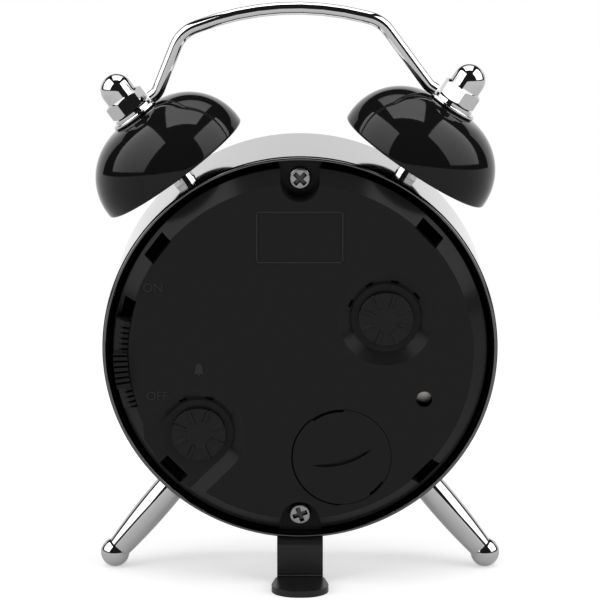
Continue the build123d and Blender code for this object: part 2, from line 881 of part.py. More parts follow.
# Side contact between the cell and the cup wall
with BuildPart() as contact_plus:
    with BuildSketch(sector_plane(plus_contact_angle, door_spot)):
        with Locations((cell_radius + running_gap, cup_floor_rear)):
            Rectangle(contact_thickness, cup_rear - cup_floor_rear, align=(Align.MIN, Align.MIN))
    revolve(axis=upright_axis(door_spot), revolution_arc=plus_contact_arc)
save(contact_plus.part, "contact_plus")


def knob(spot, rib_turn):
    """Ribbed setting knob, bored from below for its arbor."""
    base = dish_floor + knob_lift
    face = cover_proud - knob_rib_height
    with BuildPart() as piece:
        with BuildSketch(Plane.XY.offset(base)):
            with Locations(spot):
                Circle(knob_radius)
        extrude(amount=face - base)
        with BuildSketch(Plane.XY.offset(face)):
            with Locations(spot):
                with PolarLocations(knob_radius - knob_rib_length / 2, knob_rib_count, start_angle=rib_turn):
                    Rectangle(knob_rib_length, knob_rib_width)
                Circle(knob_radius, mode=Mode.INTERSECT)
        extrude(amount=knob_rib_height)
        with BuildSketch(Plane.XY.offset(base)):
            with Locations(spot):
                Circle(arbor_radius + seat_gap)
        extrude(amount=arbor_grip, mode=Mode.SUBTRACT)
    return piece.part


save(knob(time_spot, time_rib_turn), "time_knob")
save(knob(alarm_spot, alarm_rib_turn), "alarm_knob")

# Setting arbor: its wheel turns the minute pipe and its pinion turns the hour wheel
arbor_top = dish_floor + knob_lift + arbor_grip
with BuildPart() as setting_arbor:
    with BuildSketch(Plane.XY.offset(hour_layer)):
        with Locations(time_spot):
            Circle(arbor_radius)
    extrude(amount=arbor_top - hour_layer)
    with BuildSketch(Plane.XY.offset(hour_layer)):
        with Locations(time_spot):
            add(gear_outline(setting_pinion_teeth, hour_module, time_angle + 180))
    extrude(amount=cannon_layer - hour_layer)
    with BuildSketch(Plane.XY.offset(cannon_layer)):
        with Locations(time_spot):
            add(gear_outline(setting_wheel_teeth, setting_module, time_angle + 180))
    extrude(amount=wheel_thickness)
save(setting_arbor.part, "setting_arbor")

# Alarm arbor: its pinion turns the alarm wheel
with BuildPart() as alarm_arbor:
    with BuildSketch(Plane.XY.offset(alarm_layer)):
        with Locations(alarm_spot):
            Circle(arbor_radius)
    extrude(amount=arbor_top - alarm_layer)
    with BuildSketch(Plane.XY.offset(wall_front)):
        with Locations(alarm_spot):
            Circle(pivot_radius)
    extrude(amount=alarm_layer - wall_front)
    with BuildSketch(Plane.XY.offset(alarm_layer)):
        with Locations(alarm_spot):
            add(gear_outline(alarm_pinion_teeth, alarm_module, alarm_angle + 180))
    extrude(amount=wheel_thickness)
save(alarm_arbor.part, "alarm_arbor")

# Alarm slide: a curved slider with serrated wings and a raised thumb tab
slide_inner = slide_slot_inner + slide_gap
slide_outer = slide_slot_outer - slide_gap
slide_flange_top = cover_lining(slide_slot_inner) - slide_flange_drop
slide_bottom = slide_flange_top - slide_flange_thickness
slide_rib_count = int((slide_end_angle - slide_start_angle) / slide_rib_step)
with BuildPart() as alarm_switch:
    with BuildSketch(sector_plane(slide_start_angle)):
        with BuildLine():
            Polyline(
                (slide_flange_inner, slide_bottom),
                (slide_outer, slide_bottom),
                (slide_outer, slide_edge_height),
                (slide_inner + slide_top_width, slide_top_height),
                (slide_inner, slide_top_height),
                (slide_inner, slide_flange_top),
                (slide_flange_inner, slide_flange_top),
                close=True,
            )
        make_face()
    revolve(axis=Axis.Z, revolution_arc=slide_end_angle - slide_start_angle)
    with BuildSketch(sector_plane(slide_tab_start)):
        with Locations((slide_inner, slide_edge_height)):
            Rectangle(
                slide_outer - slide_inner,
                slide_top_height + slide_tab_rise - slide_edge_height,
                align=(Align.MIN, Align.MIN),
            )
    revolve(axis=Axis.Z, revolution_arc=slide_tab_end - slide_tab_start)
    for rib in range(1, slide_rib_count + 1):
        groove_angle = slide_start_angle + rib * slide_rib_step
        on_tab = slide_tab_start < groove_angle < slide_tab_end - slide_rib_groove
        groove_top = slide_top_height + slide_tab_rise if on_tab else slide_top_height
        with BuildSketch(sector_plane(groove_angle)):
            with Locations((slide_inner, groove_top)):
                Rectangle(slide_outer - slide_inner, slide_rib_depth, align=(Align.MIN, Align.MAX))
        revolve(axis=Axis.Z, revolution_arc=slide_rib_groove, mode=Mode.SUBTRACT)
save(alarm_switch.part, "alarm_switch")

# Hand wheels on their pipes, from the inside out
with BuildPart() as cannon_pinion:
    with BuildSketch(Plane.XY.offset(cannon_layer)):
        add(gear_outline(cannon_teeth, setting_module, gap_phase(time_angle, cannon_teeth)))
    extrude(amount=wheel_thickness)
    with BuildSketch(Plane.XY.offset(minute_hand_rear - hand_thickness - pipe_show)):
        Circle(minute_pipe_outer)
    extrude(amount=center_layer + wheel_thickness - minute_hand_rear + hand_thickness + 2 * pipe_show)
    with BuildSketch(Plane.XY.offset(minute_hand_rear - hand_thickness - pipe_show)):
        Circle(minute_pipe_inner)
    extrude(
        amount=center_layer + wheel_thickness - minute_hand_rear + hand_thickness + 2 * pipe_show,
        mode=Mode.SUBTRACT,
    )
save(cannon_pinion.part, "cannon_pinion")

with BuildPart() as hour_wheel:
    with BuildSketch(Plane.XY.offset(hour_layer)):
        add(gear_outline(hour_wheel_teeth, hour_module, gap_phase(time_angle, hour_wheel_teeth)))
    extrude(amount=wheel_thickness)
    with BuildSketch(Plane.XY.offset(hour_hand_rear - hand_thickness - pipe_show)):
        Circle(hour_pipe_outer)
    extrude(amount=hour_layer - hour_hand_rear + hand_thickness + pipe_show)
    with BuildSketch(Plane.XY.offset(hour_hand_rear - hand_thickness - pipe_show)):
        Circle(hour_pipe_inner)
    extrude(
        amount=hour_layer + wheel_thickness - hour_hand_rear + hand_thickness + pipe_show,
        mode=Mode.SUBTRACT,
    )
save(hour_wheel.part, "hour_wheel")

with BuildPart() as alarm_wheel:
    with BuildSketch(Plane.XY.offset(alarm_layer)):
        add(gear_outline(alarm_wheel_teeth, alarm_module, gap_phase(alarm_angle, alarm_wheel_teeth)))
    extrude(amount=wheel_thickness)
    with BuildSketch(Plane.XY.offset(alarm_hand_rear - hand_thickness - pipe_show)):
        Circle(alarm_pipe_outer)
    extrude(amount=alarm_layer - alarm_hand_rear + hand_thickness + pipe_show)
    with BuildSketch(Plane.XY.offset(alarm_hand_rear - hand_thickness - pipe_show)):
        Circle(alarm_pipe_inner)
    extrude(
        amount=alarm_layer + wheel_thickness - alarm_hand_rear + hand_thickness + pipe_show,
        mode=Mode.SUBTRACT,
    )
save(alarm_wheel.part, "alarm_wheel")

# Center wheel: driven by the going train, slips round the minute pipe when the hands are set
with BuildPart() as center_wheel:
    with BuildSketch(Plane.XY.offset(center_layer)):
        add(gear_outline(center_wheel_teeth, center_module, gap_phase(third_angle, center_wheel_teeth)))
        Circle(minute_pipe_outer + running_gap, mode=Mode.SUBTRACT)
    extrude(amount=wheel_thickness)
save(center_wheel.part, "center_wheel")

# Third wheel: its pinion reaches through the middle plate to the center wheel
pivot_top = rear_plate_rear - pivot_inset
with BuildPart() as third_wheel:
    with BuildSketch(Plane.XY.offset(center_layer)):
        with Locations(third_spot):
            Circle(train_arbor_radius)
    extrude(amount=pivot_top - center_layer)
    with BuildSketch(Plane.XY.offset(center_layer)):
        with Locations(third_spot):
            add(gear_outline(third_pinion_teeth, center_module, third_angle + 180))
    extrude(amount=wheel_thickness)
    with BuildSketch(Plane.XY.offset(third_layer)):
        with Locations(third_spot):
            add(gear_outline(third_wheel_teeth, third_module, third_angle + 180))
    extrude(amount=wheel_thickness)
save(third_wheel.part, "third_wheel")

# Second wheel on the long centre arbor
with BuildPart() as second_wheel:
    with BuildSketch(Plane.XY.offset(second_hand_rear - hand_thickness - pipe_show)):
        Circle(second_arbor_radius)
    extrude(amount=pivot_top - second_hand_rear + hand_thickness + pipe_show)
    with BuildSketch(Plane.XY.offset(third_layer)):
        add(gear_outline(second_pinion_teeth, third_module, gap_phase(third_angle, second_pinion_teeth)))
    extrude(amount=second_layer - third_layer)
    with BuildSketch(Plane.XY.offset(second_layer)):
        second_phase = gap_phase(intermediate_angle, second_wheel_teeth)
        add(gear_outline(second_wheel_teeth, second_module, second_phase))
    extrude(amount=wheel_thickness)
save(second_wheel.part, "second_wheel")

# Intermediate wheel between the rotor and the second wheel
with BuildPart() as intermediate_wheel:
    with BuildSketch(Plane.XY.offset(middle_front + pivot_inset)):
        with Locations(intermediate_spot):
            Circle(train_arbor_radius)
    extrude(amount=pivot_top - middle_front - pivot_inset)
    with BuildSketch(Plane.XY.offset(second_layer)):
        with Locations(intermediate_spot):
            add(gear_outline(intermediate_pinion_teeth, second_module, intermediate_angle + 180))
    extrude(amount=intermediate_layer - second_layer)
    with BuildSketch(Plane.XY.offset(intermediate_layer)):
        with Locations(intermediate_spot):
            add(gear_outline(
                intermediate_wheel_teeth,
                intermediate_module,
                gap_phase(rotor_angle, intermediate_wheel_teeth),
            ))
    extrude(amount=wheel_thickness)
save(intermediate_wheel.part, "intermediate_wheel")

# Rotor: a round magnet and a pinion on one arbor
with BuildPart() as rotor:
    with BuildSketch(Plane.XY.offset(middle_front + pivot_inset)):
        with Locations(rotor_spot):
            Circle(train_arbor_radius)
    extrude(amount=pivot_top - middle_front - pivot_inset)
    with BuildSketch(Plane.XY.offset(middle_rear + running_gap)):
        with Locations(rotor_spot):
            Circle(magnet_radius)
    extrude(amount=magnet_height)
    with BuildSketch(Plane.XY.offset(intermediate_layer)):
        with Locations(rotor_spot):
            add(gear_outline(rotor_pinion_teeth, intermediate_module, rotor_angle + 180))
    extrude(amount=wheel_thickness)
save(rotor.part, "rotor")

# Stator plate with the core bar that the coil sits on
stator_low = rotor_spot[1] - stator_bottom
stator_high = core_level + core_width / 2
with BuildPart() as stator:
    with BuildSketch(Plane.XY.offset(middle_rear)):
        with Locations((rotor_spot[0] - stator_left, stator_low)):
            Rectangle(stator_left + stator_right, stator_high - stator_low, align=(Align.MIN, Align.MIN))
        with Locations((coil_left, rotor_spot[1] + stator_rise)):
            Rectangle(
                coil_right - coil_left,
                core_rise - stator_rise - core_width / 2,
                align=(Align.MIN, Align.MIN),
                mode=Mode.SUBTRACT,
            )
        with Locations(rotor_spot):
            Circle(magnet_radius + magnet_gap, mode=Mode.SUBTRACT)
    extrude(amount=stator_thickness)
save(stator.part, "stator")

# Coil: a bobbin on the core and the copper wound on it
core_depth = middle_rear + stator_thickness / 2
coil_bore_radius = hypot(core_width, stator_thickness) / 2 + coil_bore_wall
coil_start = (coil_middle - coil_length / 2, core_level, core_depth)
coil_plane = Plane(origin=coil_start, x_dir=(0, 1, 0), z_dir=(1, 0, 0))
with BuildPart() as coil_bobbin:
    with BuildSketch(coil_plane):
        Circle(coil_bore_radius)
    extrude(amount=coil_length)
    for start in (0, coil_length - coil_flange_thickness):
        with BuildSketch(coil_plane.offset(start)):
            Circle(coil_flange_radius)
        extrude(amount=coil_flange_thickness)
    with BuildSketch(coil_plane):
        Rectangle(core_width + 2 * seat_gap, stator_thickness + 2 * seat_gap)
    extrude(amount=coil_length, mode=Mode.SUBTRACT)
save(coil_bobbin.part, "coil_bobbin")

with BuildPart() as coil_winding:
    with BuildSketch(coil_plane.offset(coil_flange_thickness)):
        Circle(coil_winding_radius)
        Circle(coil_bore_radius, mode=Mode.SUBTRACT)
    extrude(amount=coil_length - 2 * coil_flange_thickness)
save(coil_winding.part, "coil_winding")

# Circuit board with its driver chip, crystal and switch contact
with BuildPart() as circuit_board:
    with BuildSketch(Plane.XY.offset(rear_plate_rear)):
        with Locations(board_center):
            Rectangle(board_width, board_height)
    extrude(amount=board_thickness)
save(circuit_board.part, "circuit_board")

chip_spot = (board_center[0] + chip_offset[0], board_center[1] + chip_offset[1])
with BuildPart() as driver_chip:
    with BuildSketch(Plane.XY.offset(board_rear)):
        with Locations(chip_spot):
            Circle(chip_radius)
    extrude(amount=chip_height)
    fillet(driver_chip.faces().sort_by(Axis.Z)[-1].edges(), chip_height / 2)
save(driver_chip.part, "driver_chip")

crystal_spot = (board_center[0] + crystal_offset[0], board_center[1] + crystal_offset[1])
with BuildPart() as quartz_crystal:
    with BuildSketch(Plane(
        origin=(crystal_spot[0] - crystal_length / 2, crystal_spot[1], board_rear + crystal_radius),
        x_dir=(0, 1, 0),
        z_dir=(1, 0, 0),
    )):
        Circle(crystal_radius)
    extrude(amount=crystal_length)
save(quartz_crystal.part, "quartz_crystal")

contact_root = board_center[0] - board_width / 2 + switch_contact_overlap
contact_tip = switch_contact_gap - slide_flange_inner
with BuildPart() as switch_contact:
    with BuildSketch(Plane.XY.offset(board_rear)):
        with Locations((contact_root, 0)):
            Rectangle(contact_root - contact_tip, switch_contact_width, align=(Align.MAX, Align.CENTER))
    extrude(amount=contact_thickness)
    with BuildSketch(Plane.XY.offset(board_rear)):
        with Locations((contact_tip, 0)):
            Rectangle(contact_thickness, switch_contact_width, align=(Align.MIN, Align.CENTER))
    extrude(amount=slide_bottom - running_gap - board_rear)
save(switch_contact.part, "switch_contact")

# Piezo buzzer under the sound hole, with its two leads
with BuildPart() as piezo_buzzer:
    with BuildSketch(Plane.XY.offset(buzzer_front)):
        with Locations(buzzer_spot):
            Circle(buzzer_radius)
    extrude(amount=buzzer_thickness)
save(piezo_buzzer.part, "piezo_buzzer")

lead_span = Vector(buzzer_spot[0] - lead_start[0], buzzer_spot[1] - lead_start[1], 0)
lead_length = lead_span.length - lead_end_inset
lead_run = lead_span.normalized()
lead_side = Vector(0, 0, 1).cross(lead_run)
lead_level = buzzer_front - lead_radius
with BuildPart() as buzzer_leads:
    for side in (-lead_spacing / 2, lead_spacing / 2):
        root = Vector(lead_start[0], lead_start[1], 0) + lead_side * side
        lead_plane = Plane(origin=root, x_dir=lead_run, z_dir=lead_side * -1)
        with BuildLine(lead_plane) as lead_path:
            FilletPolyline((0, board_rear), (0, lead_level), (lead_length, lead_level), radius=lead_bend)
        with BuildSketch(Plane(origin=lead_path.line @ 0, z_dir=lead_path.line % 0)):
            Circle(lead_radius)
        sweep(path=lead_path.line)
save(buzzer_leads.part, "buzzer_leads")


def hand(length, width, tail, pipe_radius, rear, clock_angle):
    """Flat hand pressed on its pipe."""
    outline = hand_outline(length, width, tail, pipe_radius + hub_wall, pipe_radius + seat_gap, clock_angle)
    with BuildPart() as piece:
        with BuildSketch(Plane.XY.offset(rear)):
            add(outline)
        extrude(amount=-hand_thickness)
    return piece.part


save(
    hand(hour_hand_length, hour_hand_width, 0, hour_pipe_outer, hour_hand_rear, hour_hand_angle),
    "hour_hand",
)
save(
    hand(
        minute_hand_length,
        minute_hand_width,
        0,
        minute_pipe_outer,
        minute_hand_rear,
        minute_hand_angle,
    ),
    "minute_hand",
)
save(
    hand(
        second_hand_length,
        second_hand_width,
        second_hand_tail,
        second_arbor_radius,
        second_hand_rear,
        second_hand_angle,
    ),
    "second_hand",
)
save(
    hand(alarm_hand_length, alarm_hand_width, 0, alarm_pipe_outer, alarm_hand_rear, alarm_hand_angle),
    "alarm_hand",
)


def bell(angle):
    """Domed steel bell, open towards the drum, with a flat seat and a hole at its apex."""
    with BuildPart() as piece:
        with BuildSketch(radial_profile(angle)):
            with BuildLine():
                EllipticalCenterArc(
                    (bell_flat_radius, skirt_level),
                    bell_radius - bell_flat_radius,
                    bell_apex - skirt_level,
                    start_angle=0,
                    arc_size=quarter_turn,
                )
                Polyline(
                    (bell_flat_radius, bell_apex),
                    (0, bell_apex),
                    (0, bell_apex - bell_wall),
                    (bell_flat_radius, bell_apex - bell_wall),
                )
                EllipticalCenterArc(
                    (bell_flat_radius, skirt_level),
                    bell_radius - bell_flat_radius - bell_wall,
                    bell_apex - bell_wall - skirt_level,
                    start_angle=0,
                    arc_size=quarter_turn,
                )
                Polyline(
                    (bell_radius - bell_wall, skirt_level),
                    (bell_radius - bell_wall, bell_rim),
                    (bell_radius, bell_rim),
                    (bell_radius, skirt_level),
                )
            make_face()
        revolve(axis=radial_axis(angle))
        with BuildSketch(radial_face(angle, bell_rim)):
            Circle(stud_radius + running_gap)
        extrude(amount=bell_height, mode=Mode.SUBTRACT)
    return piece.part


save(bell(bell_angles[0]), "bell_left")
save(bell(bell_angles[1]), "bell_right")

# Tube between the drum and the inside of each bell
with BuildPart() as bell_posts:
    for angle in bell_angles:
        with BuildSketch(radial_face(angle, frame_inner)):
            Circle(bell_post_radius)
            Circle(stud_radius + running_gap, mode=Mode.SUBTRACT)
        extrude(amount=bell_apex - bell_wall - frame_inner)
    with BuildSketch(Plane.XY.offset(-drum_depth)):
        Circle(drum_radius + seat_gap)
    extrude(amount=drum_depth, mode=Mode.SUBTRACT)
save(bell_posts.part, "bell_posts")

# Stud through each bell
with BuildPart() as bell_studs:
    for angle in bell_angles:
        with BuildSketch(radial_face(angle, stud_bottom)):
            Circle(stud_radius)
        extrude(amount=stud_top - stud_bottom)
save(bell_studs.part, "bell_studs")

# Nuts inside the frame, under the bells and the legs
with BuildPart() as bell_lock_nuts:
    for angle in bell_angles:
        with BuildSketch(radial_face(angle, nut_level(inner_nut_flats) - inner_nut_height)):
            RegularPolygon(inner_nut_flats / 2, 6, major_radius=False, rotation=nut_turn)
            Circle(stud_radius + seat_gap, mode=Mode.SUBTRACT)
        extrude(amount=inner_nut_height)
save(bell_lock_nuts.part, "bell_lock_nuts")

with BuildPart() as leg_nuts:
    for angle in leg_angles:
        with BuildSketch(radial_face(angle, nut_level(leg_nut_flats) - leg_nut_height)):
            RegularPolygon(leg_nut_flats / 2, 6, major_radius=False, rotation=nut_turn)
            Circle(leg_stud_radius + seat_gap, mode=Mode.SUBTRACT)
        extrude(amount=leg_nut_height)
save(leg_nuts.part, "leg_nuts")

# Washer and acorn nut on each bell
with BuildPart() as bell_washers:
    for angle in bell_angles:
        with BuildSketch(radial_face(angle, eye_top)):
            Circle(washer_radius)
            Circle(stud_radius + running_gap, mode=Mode.SUBTRACT)
        extrude(amount=washer_thickness)
save(bell_washers.part, "bell_washers")

cap_dome_level = washer_top + cap_nut_height - cap_nut_dome_radius
with BuildPart() as cap_nuts:
    for angle in bell_angles:
        with BuildSketch(radial_face(angle, washer_top)):
            RegularPolygon(cap_nut_flats / 2, 6, major_radius=False)
        extrude(amount=cap_nut_hex_height)
    for angle in bell_angles:
        with BuildSketch(radial_profile(angle)):
            with BuildLine():
                Line((0, washer_top), (cap_nut_dome_radius, washer_top))
                Line((cap_nut_dome_radius, washer_top), (cap_nut_dome_radius, cap_dome_level))
                CenterArc((0, cap_dome_level), cap_nut_dome_radius, 0, 90)
                Line((0, cap_dome_level + cap_nut_dome_radius), (0, washer_top))
            make_face()
        revolve(axis=radial_axis(angle))
    for angle in bell_angles:
        with BuildSketch(radial_face(angle, washer_top)):
            Circle(stud_radius + seat_gap)
        extrude(amount=cap_nut_thread_depth, mode=Mode.SUBTRACT)
save(cap_nuts.part, "cap_nuts")

# Handle: bent round wire with a flat eye under each acorn nut
handle_plane = Plane(
    origin=(0, 0, -post_depth),
    x_dir=(cos(radians(handle_turn)), sin(radians(handle_turn)), 0),
    z_dir=(0, 0, 1),
)


def wire_leave(angle, run, side):
    """Point on the wire at a distance from its eye: side is 1 at the right, -1 at the left."""
    lean_in = radians(angle - handle_turn)
    along = side * run
    return (
        wire_level * cos(lean_in) - along * sin(lean_in),
        wire_level * sin(lean_in) + along * cos(lean_in),
    )


shoulder_level = wire_level + shoulder_rise
left_points = (
    (-shoulder_reach, shoulder_level),
    wire_leave(bell_angles[0], handle_run, -1),
    wire_leave(bell_angles[0], handle_wire_start, -1),
)
right_points = (
    wire_leave(bell_angles[1], handle_wire_start, 1),
    wire_leave(bell_angles[1], handle_run, 1),
    (shoulder_reach, shoulder_level),
)
top_point = (0, shoulder_level + arch_rise)
bend_radii = (handle_low_bend, handle_high_bend, arch_bend, handle_high_bend, handle_low_bend)
with BuildPart() as handle:
    with BuildLine(handle_plane) as handle_path:
        FilletPolyline(*right_points, top_point, *left_points, radius=bend_radii)
    with BuildSketch(Plane(origin=handle_path.line @ 0, z_dir=handle_path.line % 0)):
        Circle(wire_radius)
    sweep(path=handle_path.line)
    for angle in bell_angles:
        with BuildSketch(radial_face(angle, bell_apex)):
            Circle(eye_radius)
        extrude(amount=eye_thickness)
        with BuildSketch(radial_face(angle, bell_rim)):
            Circle(stud_radius + running_gap)
        extrude(amount=bell_height + eye_thickness, mode=Mode.SUBTRACT)
save(handle.part, "handle")


def leg(angle):
    """Turned leg: a swelling taper, a neck and a ball, with a threaded end through the drum."""
    neck_level = leg_ball_level - sqrt(leg_ball_radius ** 2 - leg_neck_radius ** 2)
    swell_level = drum_radius + leg_length * leg_swell_share
    with BuildPart() as piece:
        with BuildSketch(radial_profile(angle)):
            with BuildLine():
                Line((0, frame_inner), (leg_base_radius, frame_inner))
                Line((leg_base_radius, frame_inner), (leg_base_radius, drum_radius))
                Spline(
                    (leg_base_radius, drum_radius),
                    (leg_swell_radius, swell_level),
                    (leg_neck_radius, neck_level),
                )
                Line((leg_neck_radius, neck_level), (0, neck_level))
                Line((0, neck_level), (0, frame_inner))
            make_face()
        revolve(axis=radial_axis(angle))
        with BuildSketch(Plane.XY.offset(-drum_depth)):
            Circle(drum_radius + seat_gap)
        extrude(amount=drum_depth, mode=Mode.SUBTRACT)
        with BuildSketch(radial_profile(angle)):
            with Locations((0, leg_ball_level)):
                Circle(leg_ball_radius)
            with Locations((0, leg_ball_level)):
                Rectangle(
                    leg_ball_radius, 2 * leg_ball_radius, align=(Align.MAX, Align.CENTER), mode=Mode.SUBTRACT
                )
        revolve(axis=radial_axis(angle))
        with BuildSketch(radial_face(angle, frame_inner - leg_nut_height - stud_tip)):
            Circle(leg_stud_radius)
        extrude(amount=drum_radius - frame_inner + leg_nut_height + leg_base_radius)
    return piece.part


save(leg(leg_angles[0]), "leg_left")
save(leg(leg_angles[1]), "leg_right")


def floor_level(depth):
    """Height of the floor, seen from behind, at a depth along the case axis."""
    return (depth * lean_sin - stand_height) / lean_cos


# Rear foot: a bent strip under the drum with a flared pad on the floor
side_plane = Plane(origin=(0, 0, 0), x_dir=(0, 0, 1), z_dir=(-1, 0, 0))
pad_plane = Plane(
    origin=(0, floor_level(pad_start), pad_start), x_dir=(-1, 0, 0), z_dir=(0, lean_cos, -lean_sin)
)
strip_top = -drum_radius - foot_thickness / 2
strip_low = floor_level(pad_start) + foot_thickness / 2 / lean_cos
strip_end = pad_start + pad_root_length
strip_end_low = floor_level(strip_end) + foot_thickness / 2 / lean_cos
with BuildPart() as rear_foot:
    with BuildLine(side_plane) as strip_path:
        FilletPolyline(
            (-foot_flange_front, strip_top),
            (-foot_flange_rear, strip_top),
            (pad_start, strip_low),
            (strip_end, strip_end_low),
            radius=foot_bend_radius,
        )
    with BuildSketch(Plane(origin=strip_path.line @ 0, x_dir=(1, 0, 0), z_dir=strip_path.line % 0)):
        Rectangle(foot_width, foot_thickness)
    sweep(path=strip_path.line)
    with BuildSketch(pad_plane) as pad_outline:
        with BuildLine():
            Polyline(
                (-pad_root_width / 2, pad_root_length - foot_bend_radius),
                (pad_root_width / 2, pad_root_length - foot_bend_radius),
                (pad_width / 2, pad_length),
                (-pad_width / 2, pad_length),
                close=True,
            )
        make_face()
        fillet(pad_outline.vertices().group_by(Axis.Y)[-1], pad_corner)
    extrude(amount=foot_thickness)
    with BuildSketch(Plane.XY.offset(-drum_depth)):
        Circle(drum_radius + seat_gap)
    extrude(amount=drum_depth, mode=Mode.SUBTRACT)
    with BuildSketch(radial_face(foot_angle, drum_radius)):
        Circle(foot_screw_radius + running_gap)
    extrude(amount=2 * foot_thickness, mode=Mode.SUBTRACT)
save(rear_foot.part, "rear_foot")

# Screw and nut of the rear foot
with BuildPart() as foot_screw:
    with BuildSketch(radial_face(foot_angle, frame_inner - leg_nut_height - stud_tip)):
        Circle(foot_screw_radius)
    extrude(amount=drum_radius + foot_thickness - frame_inner + leg_nut_height + stud_tip)
    with BuildSketch(radial_face(foot_angle, drum_radius + foot_thickness)):
        Circle(foot_screw_head_radius)
    extrude(amount=foot_screw_head_height)
    fillet(foot_screw.faces().sort_by(Axis.Y)[0].edges(), foot_screw_head_height / 2)
save(foot_screw.part, "foot_screw")

with BuildPart() as foot_nut:
    with BuildSketch(radial_face(foot_angle, nut_level(leg_nut_flats) - leg_nut_height)):
        RegularPolygon(leg_nut_flats / 2, 6, major_radius=False, rotation=nut_turn)
        Circle(foot_screw_radius + seat_gap, mode=Mode.SUBTRACT)
    extrude(amount=leg_nut_height)
save(foot_nut.part, "foot_nut")
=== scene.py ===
import json
from math import atan2, cos, degrees, pi, radians, sin, sqrt, tan, tau

import bmesh
import bpy
from mathutils import Matrix, Vector


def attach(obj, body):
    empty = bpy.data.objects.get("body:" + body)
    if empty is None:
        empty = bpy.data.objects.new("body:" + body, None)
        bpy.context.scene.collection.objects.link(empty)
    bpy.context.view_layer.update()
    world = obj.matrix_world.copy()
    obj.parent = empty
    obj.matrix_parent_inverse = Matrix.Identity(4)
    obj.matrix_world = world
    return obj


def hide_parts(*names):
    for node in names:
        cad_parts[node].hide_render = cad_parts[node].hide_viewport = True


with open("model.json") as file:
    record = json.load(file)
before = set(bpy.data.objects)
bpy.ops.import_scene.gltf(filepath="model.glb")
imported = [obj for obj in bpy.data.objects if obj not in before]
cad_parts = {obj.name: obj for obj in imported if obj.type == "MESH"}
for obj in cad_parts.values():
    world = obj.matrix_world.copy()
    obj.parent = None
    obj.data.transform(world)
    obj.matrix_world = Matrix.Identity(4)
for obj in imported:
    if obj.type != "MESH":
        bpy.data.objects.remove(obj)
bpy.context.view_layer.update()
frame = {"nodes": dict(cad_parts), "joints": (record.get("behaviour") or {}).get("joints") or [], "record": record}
scene = bpy.context.scene
scene.view_settings.view_transform = "Standard"

# The case's own frame, in millimetres: x right and y up as seen from behind, z out of the back
seconds = next(joint for joint in frame["joints"] if joint["name"] == "second_turn")
rearward = Vector(seconds["axis"]).normalized()
rightward = Vector((-1, 0, 0))
upward = rearward.cross(rightward)
rim_centre = Vector(seconds["pos_m"])
axes = Matrix((rightward, upward, rearward)).transposed().to_4x4()
MILLIMETRE = 0.001
CASE = Matrix.Translation(rim_centre) @ axes @ Matrix.Scale(MILLIMETRE, 4)

# Case drum, shared with its solid
DRUM_RADIUS = 29.5
DRUM_WALL = 0.5
DRUM_DEPTH = 20.0
LIP_WIDTH = 2.1
LIP_THICKNESS = 0.6
LIP_ROUND = 0.8

# Back cover and its dishes
PLATE_TOP = 1.8
DISH_FLOOR = 0.65
DISH_FLOOR_RADIUS = 5.2
DISH_MOUTH_RADIUS = 7.05
TIME_SPOT = (12.8, 5.3)
ALARM_SPOT = (-15.25, -12.6)
PLATE_RADIUS = 25.9
BEVEL_RADIUS = 28.0
BEVEL_SHARP_FOOT = -0.2
BEVEL_FOOT = -0.25

# Sound hole, battery door and the near-black bands of painted shade in gaps and grooves
SOUND_SPOT = (18.6, -7.0)
SOUND_RADIUS = 1.2
HOLE_SHADE_DROP = 0.1
HOLE_SHADE_FOOT = 0.3
DOOR_SPOT = (6.3, -16.1)
DOOR_EDGE = 7.42
# Width and arc of the band of painted shade drawn on the cover along the door's gap
DOOR_SHADE_WIDTH = 0.2
DOOR_SHADE_ARC = (128.0, 268.0)
SHADE_SKIN = 0.02
GROOVE_FLOOR = -2.0
GROOVE_OUTER = 28.9
GROOVE_SKIN = 0.03
NOTCH_HALF_ANGLE = 6.5
# Where the rolled rim's painted shade starts, and the size of the near-black ring under it
RIM_SHADE_DEPTH = 0.5
RIM_SHADE_RADIUS = 0.13

# Slide, whose grooves lie across it
SLIDE_START = 169.0
SLIDE_GROOVES = 16
SLIDE_GROOVE_STEP = 1.8
SLIDE_GROOVE_ARC = 0.7
SLIDE_TAB = (179.4, 190.1)
SLIDE_TAB_REACH = (26.75, 2.0, 2.21)
SLIDE_WING_REACH = (26.15, 0.9, 1.31)
SLIDE_SHADE_WIDTH = 0.3
SLIDE_SHADE_HEIGHT = 0.06

# Cover screws
SCREW_DISTANCE = 26.1
SCREW_TOP = -0.9
SCREW_HEAD_RADIUS = 1.68
SCREW_HEAD_HEIGHT = 1.1
SCREW_HEAD_ROUND = 0.35
SCREW_CROSS_LENGTH = 2.3
SCREW_CROSS_WIDTH = 0.7
SCREW_CROSS_DEPTH = 0.5
SCREW_CROSS_TAPER = 0.75
SCREW_TURNS = (45.0, 20.0)

# Bells, nuts and handle, as distances from the case axis
POST_DEPTH = 10.0
BELL_ANGLES = (126.0, 57.2)
BELL_RADIUS = 12.3
BELL_RIM = 31.9
BELL_SKIRT = 0.8
BELL_APEX = 41.8
BELL_FLAT = 3.0
BELL_WALL = 0.7
BELL_ROWS = 56
STUD_RADIUS = 1.25
EYE_RADIUS = 3.8
EYE_THICKNESS = 0.7
WASHER_THICKNESS = 0.4
NUT_FLATS = 5.5
NUT_HEX_HEIGHT = 2.6
NUT_DOME_RADIUS = 2.45
NUT_HEIGHT = 6.3
NUT_TURNS = (15.0, 32.0)
WIRE_RADIUS = 0.97
HANDLE_GAP = 0.05
HANDLE_TURN = 3.4
HANDLE_START = 3.4
HANDLE_RUN = 4.6
SHOULDER_REACH = 14.95
SHOULDER_RISE = 4.6
ARCH_RISE = 4.8
HANDLE_BENDS = (2.5, 5.0, 41.0, 5.0, 2.5)

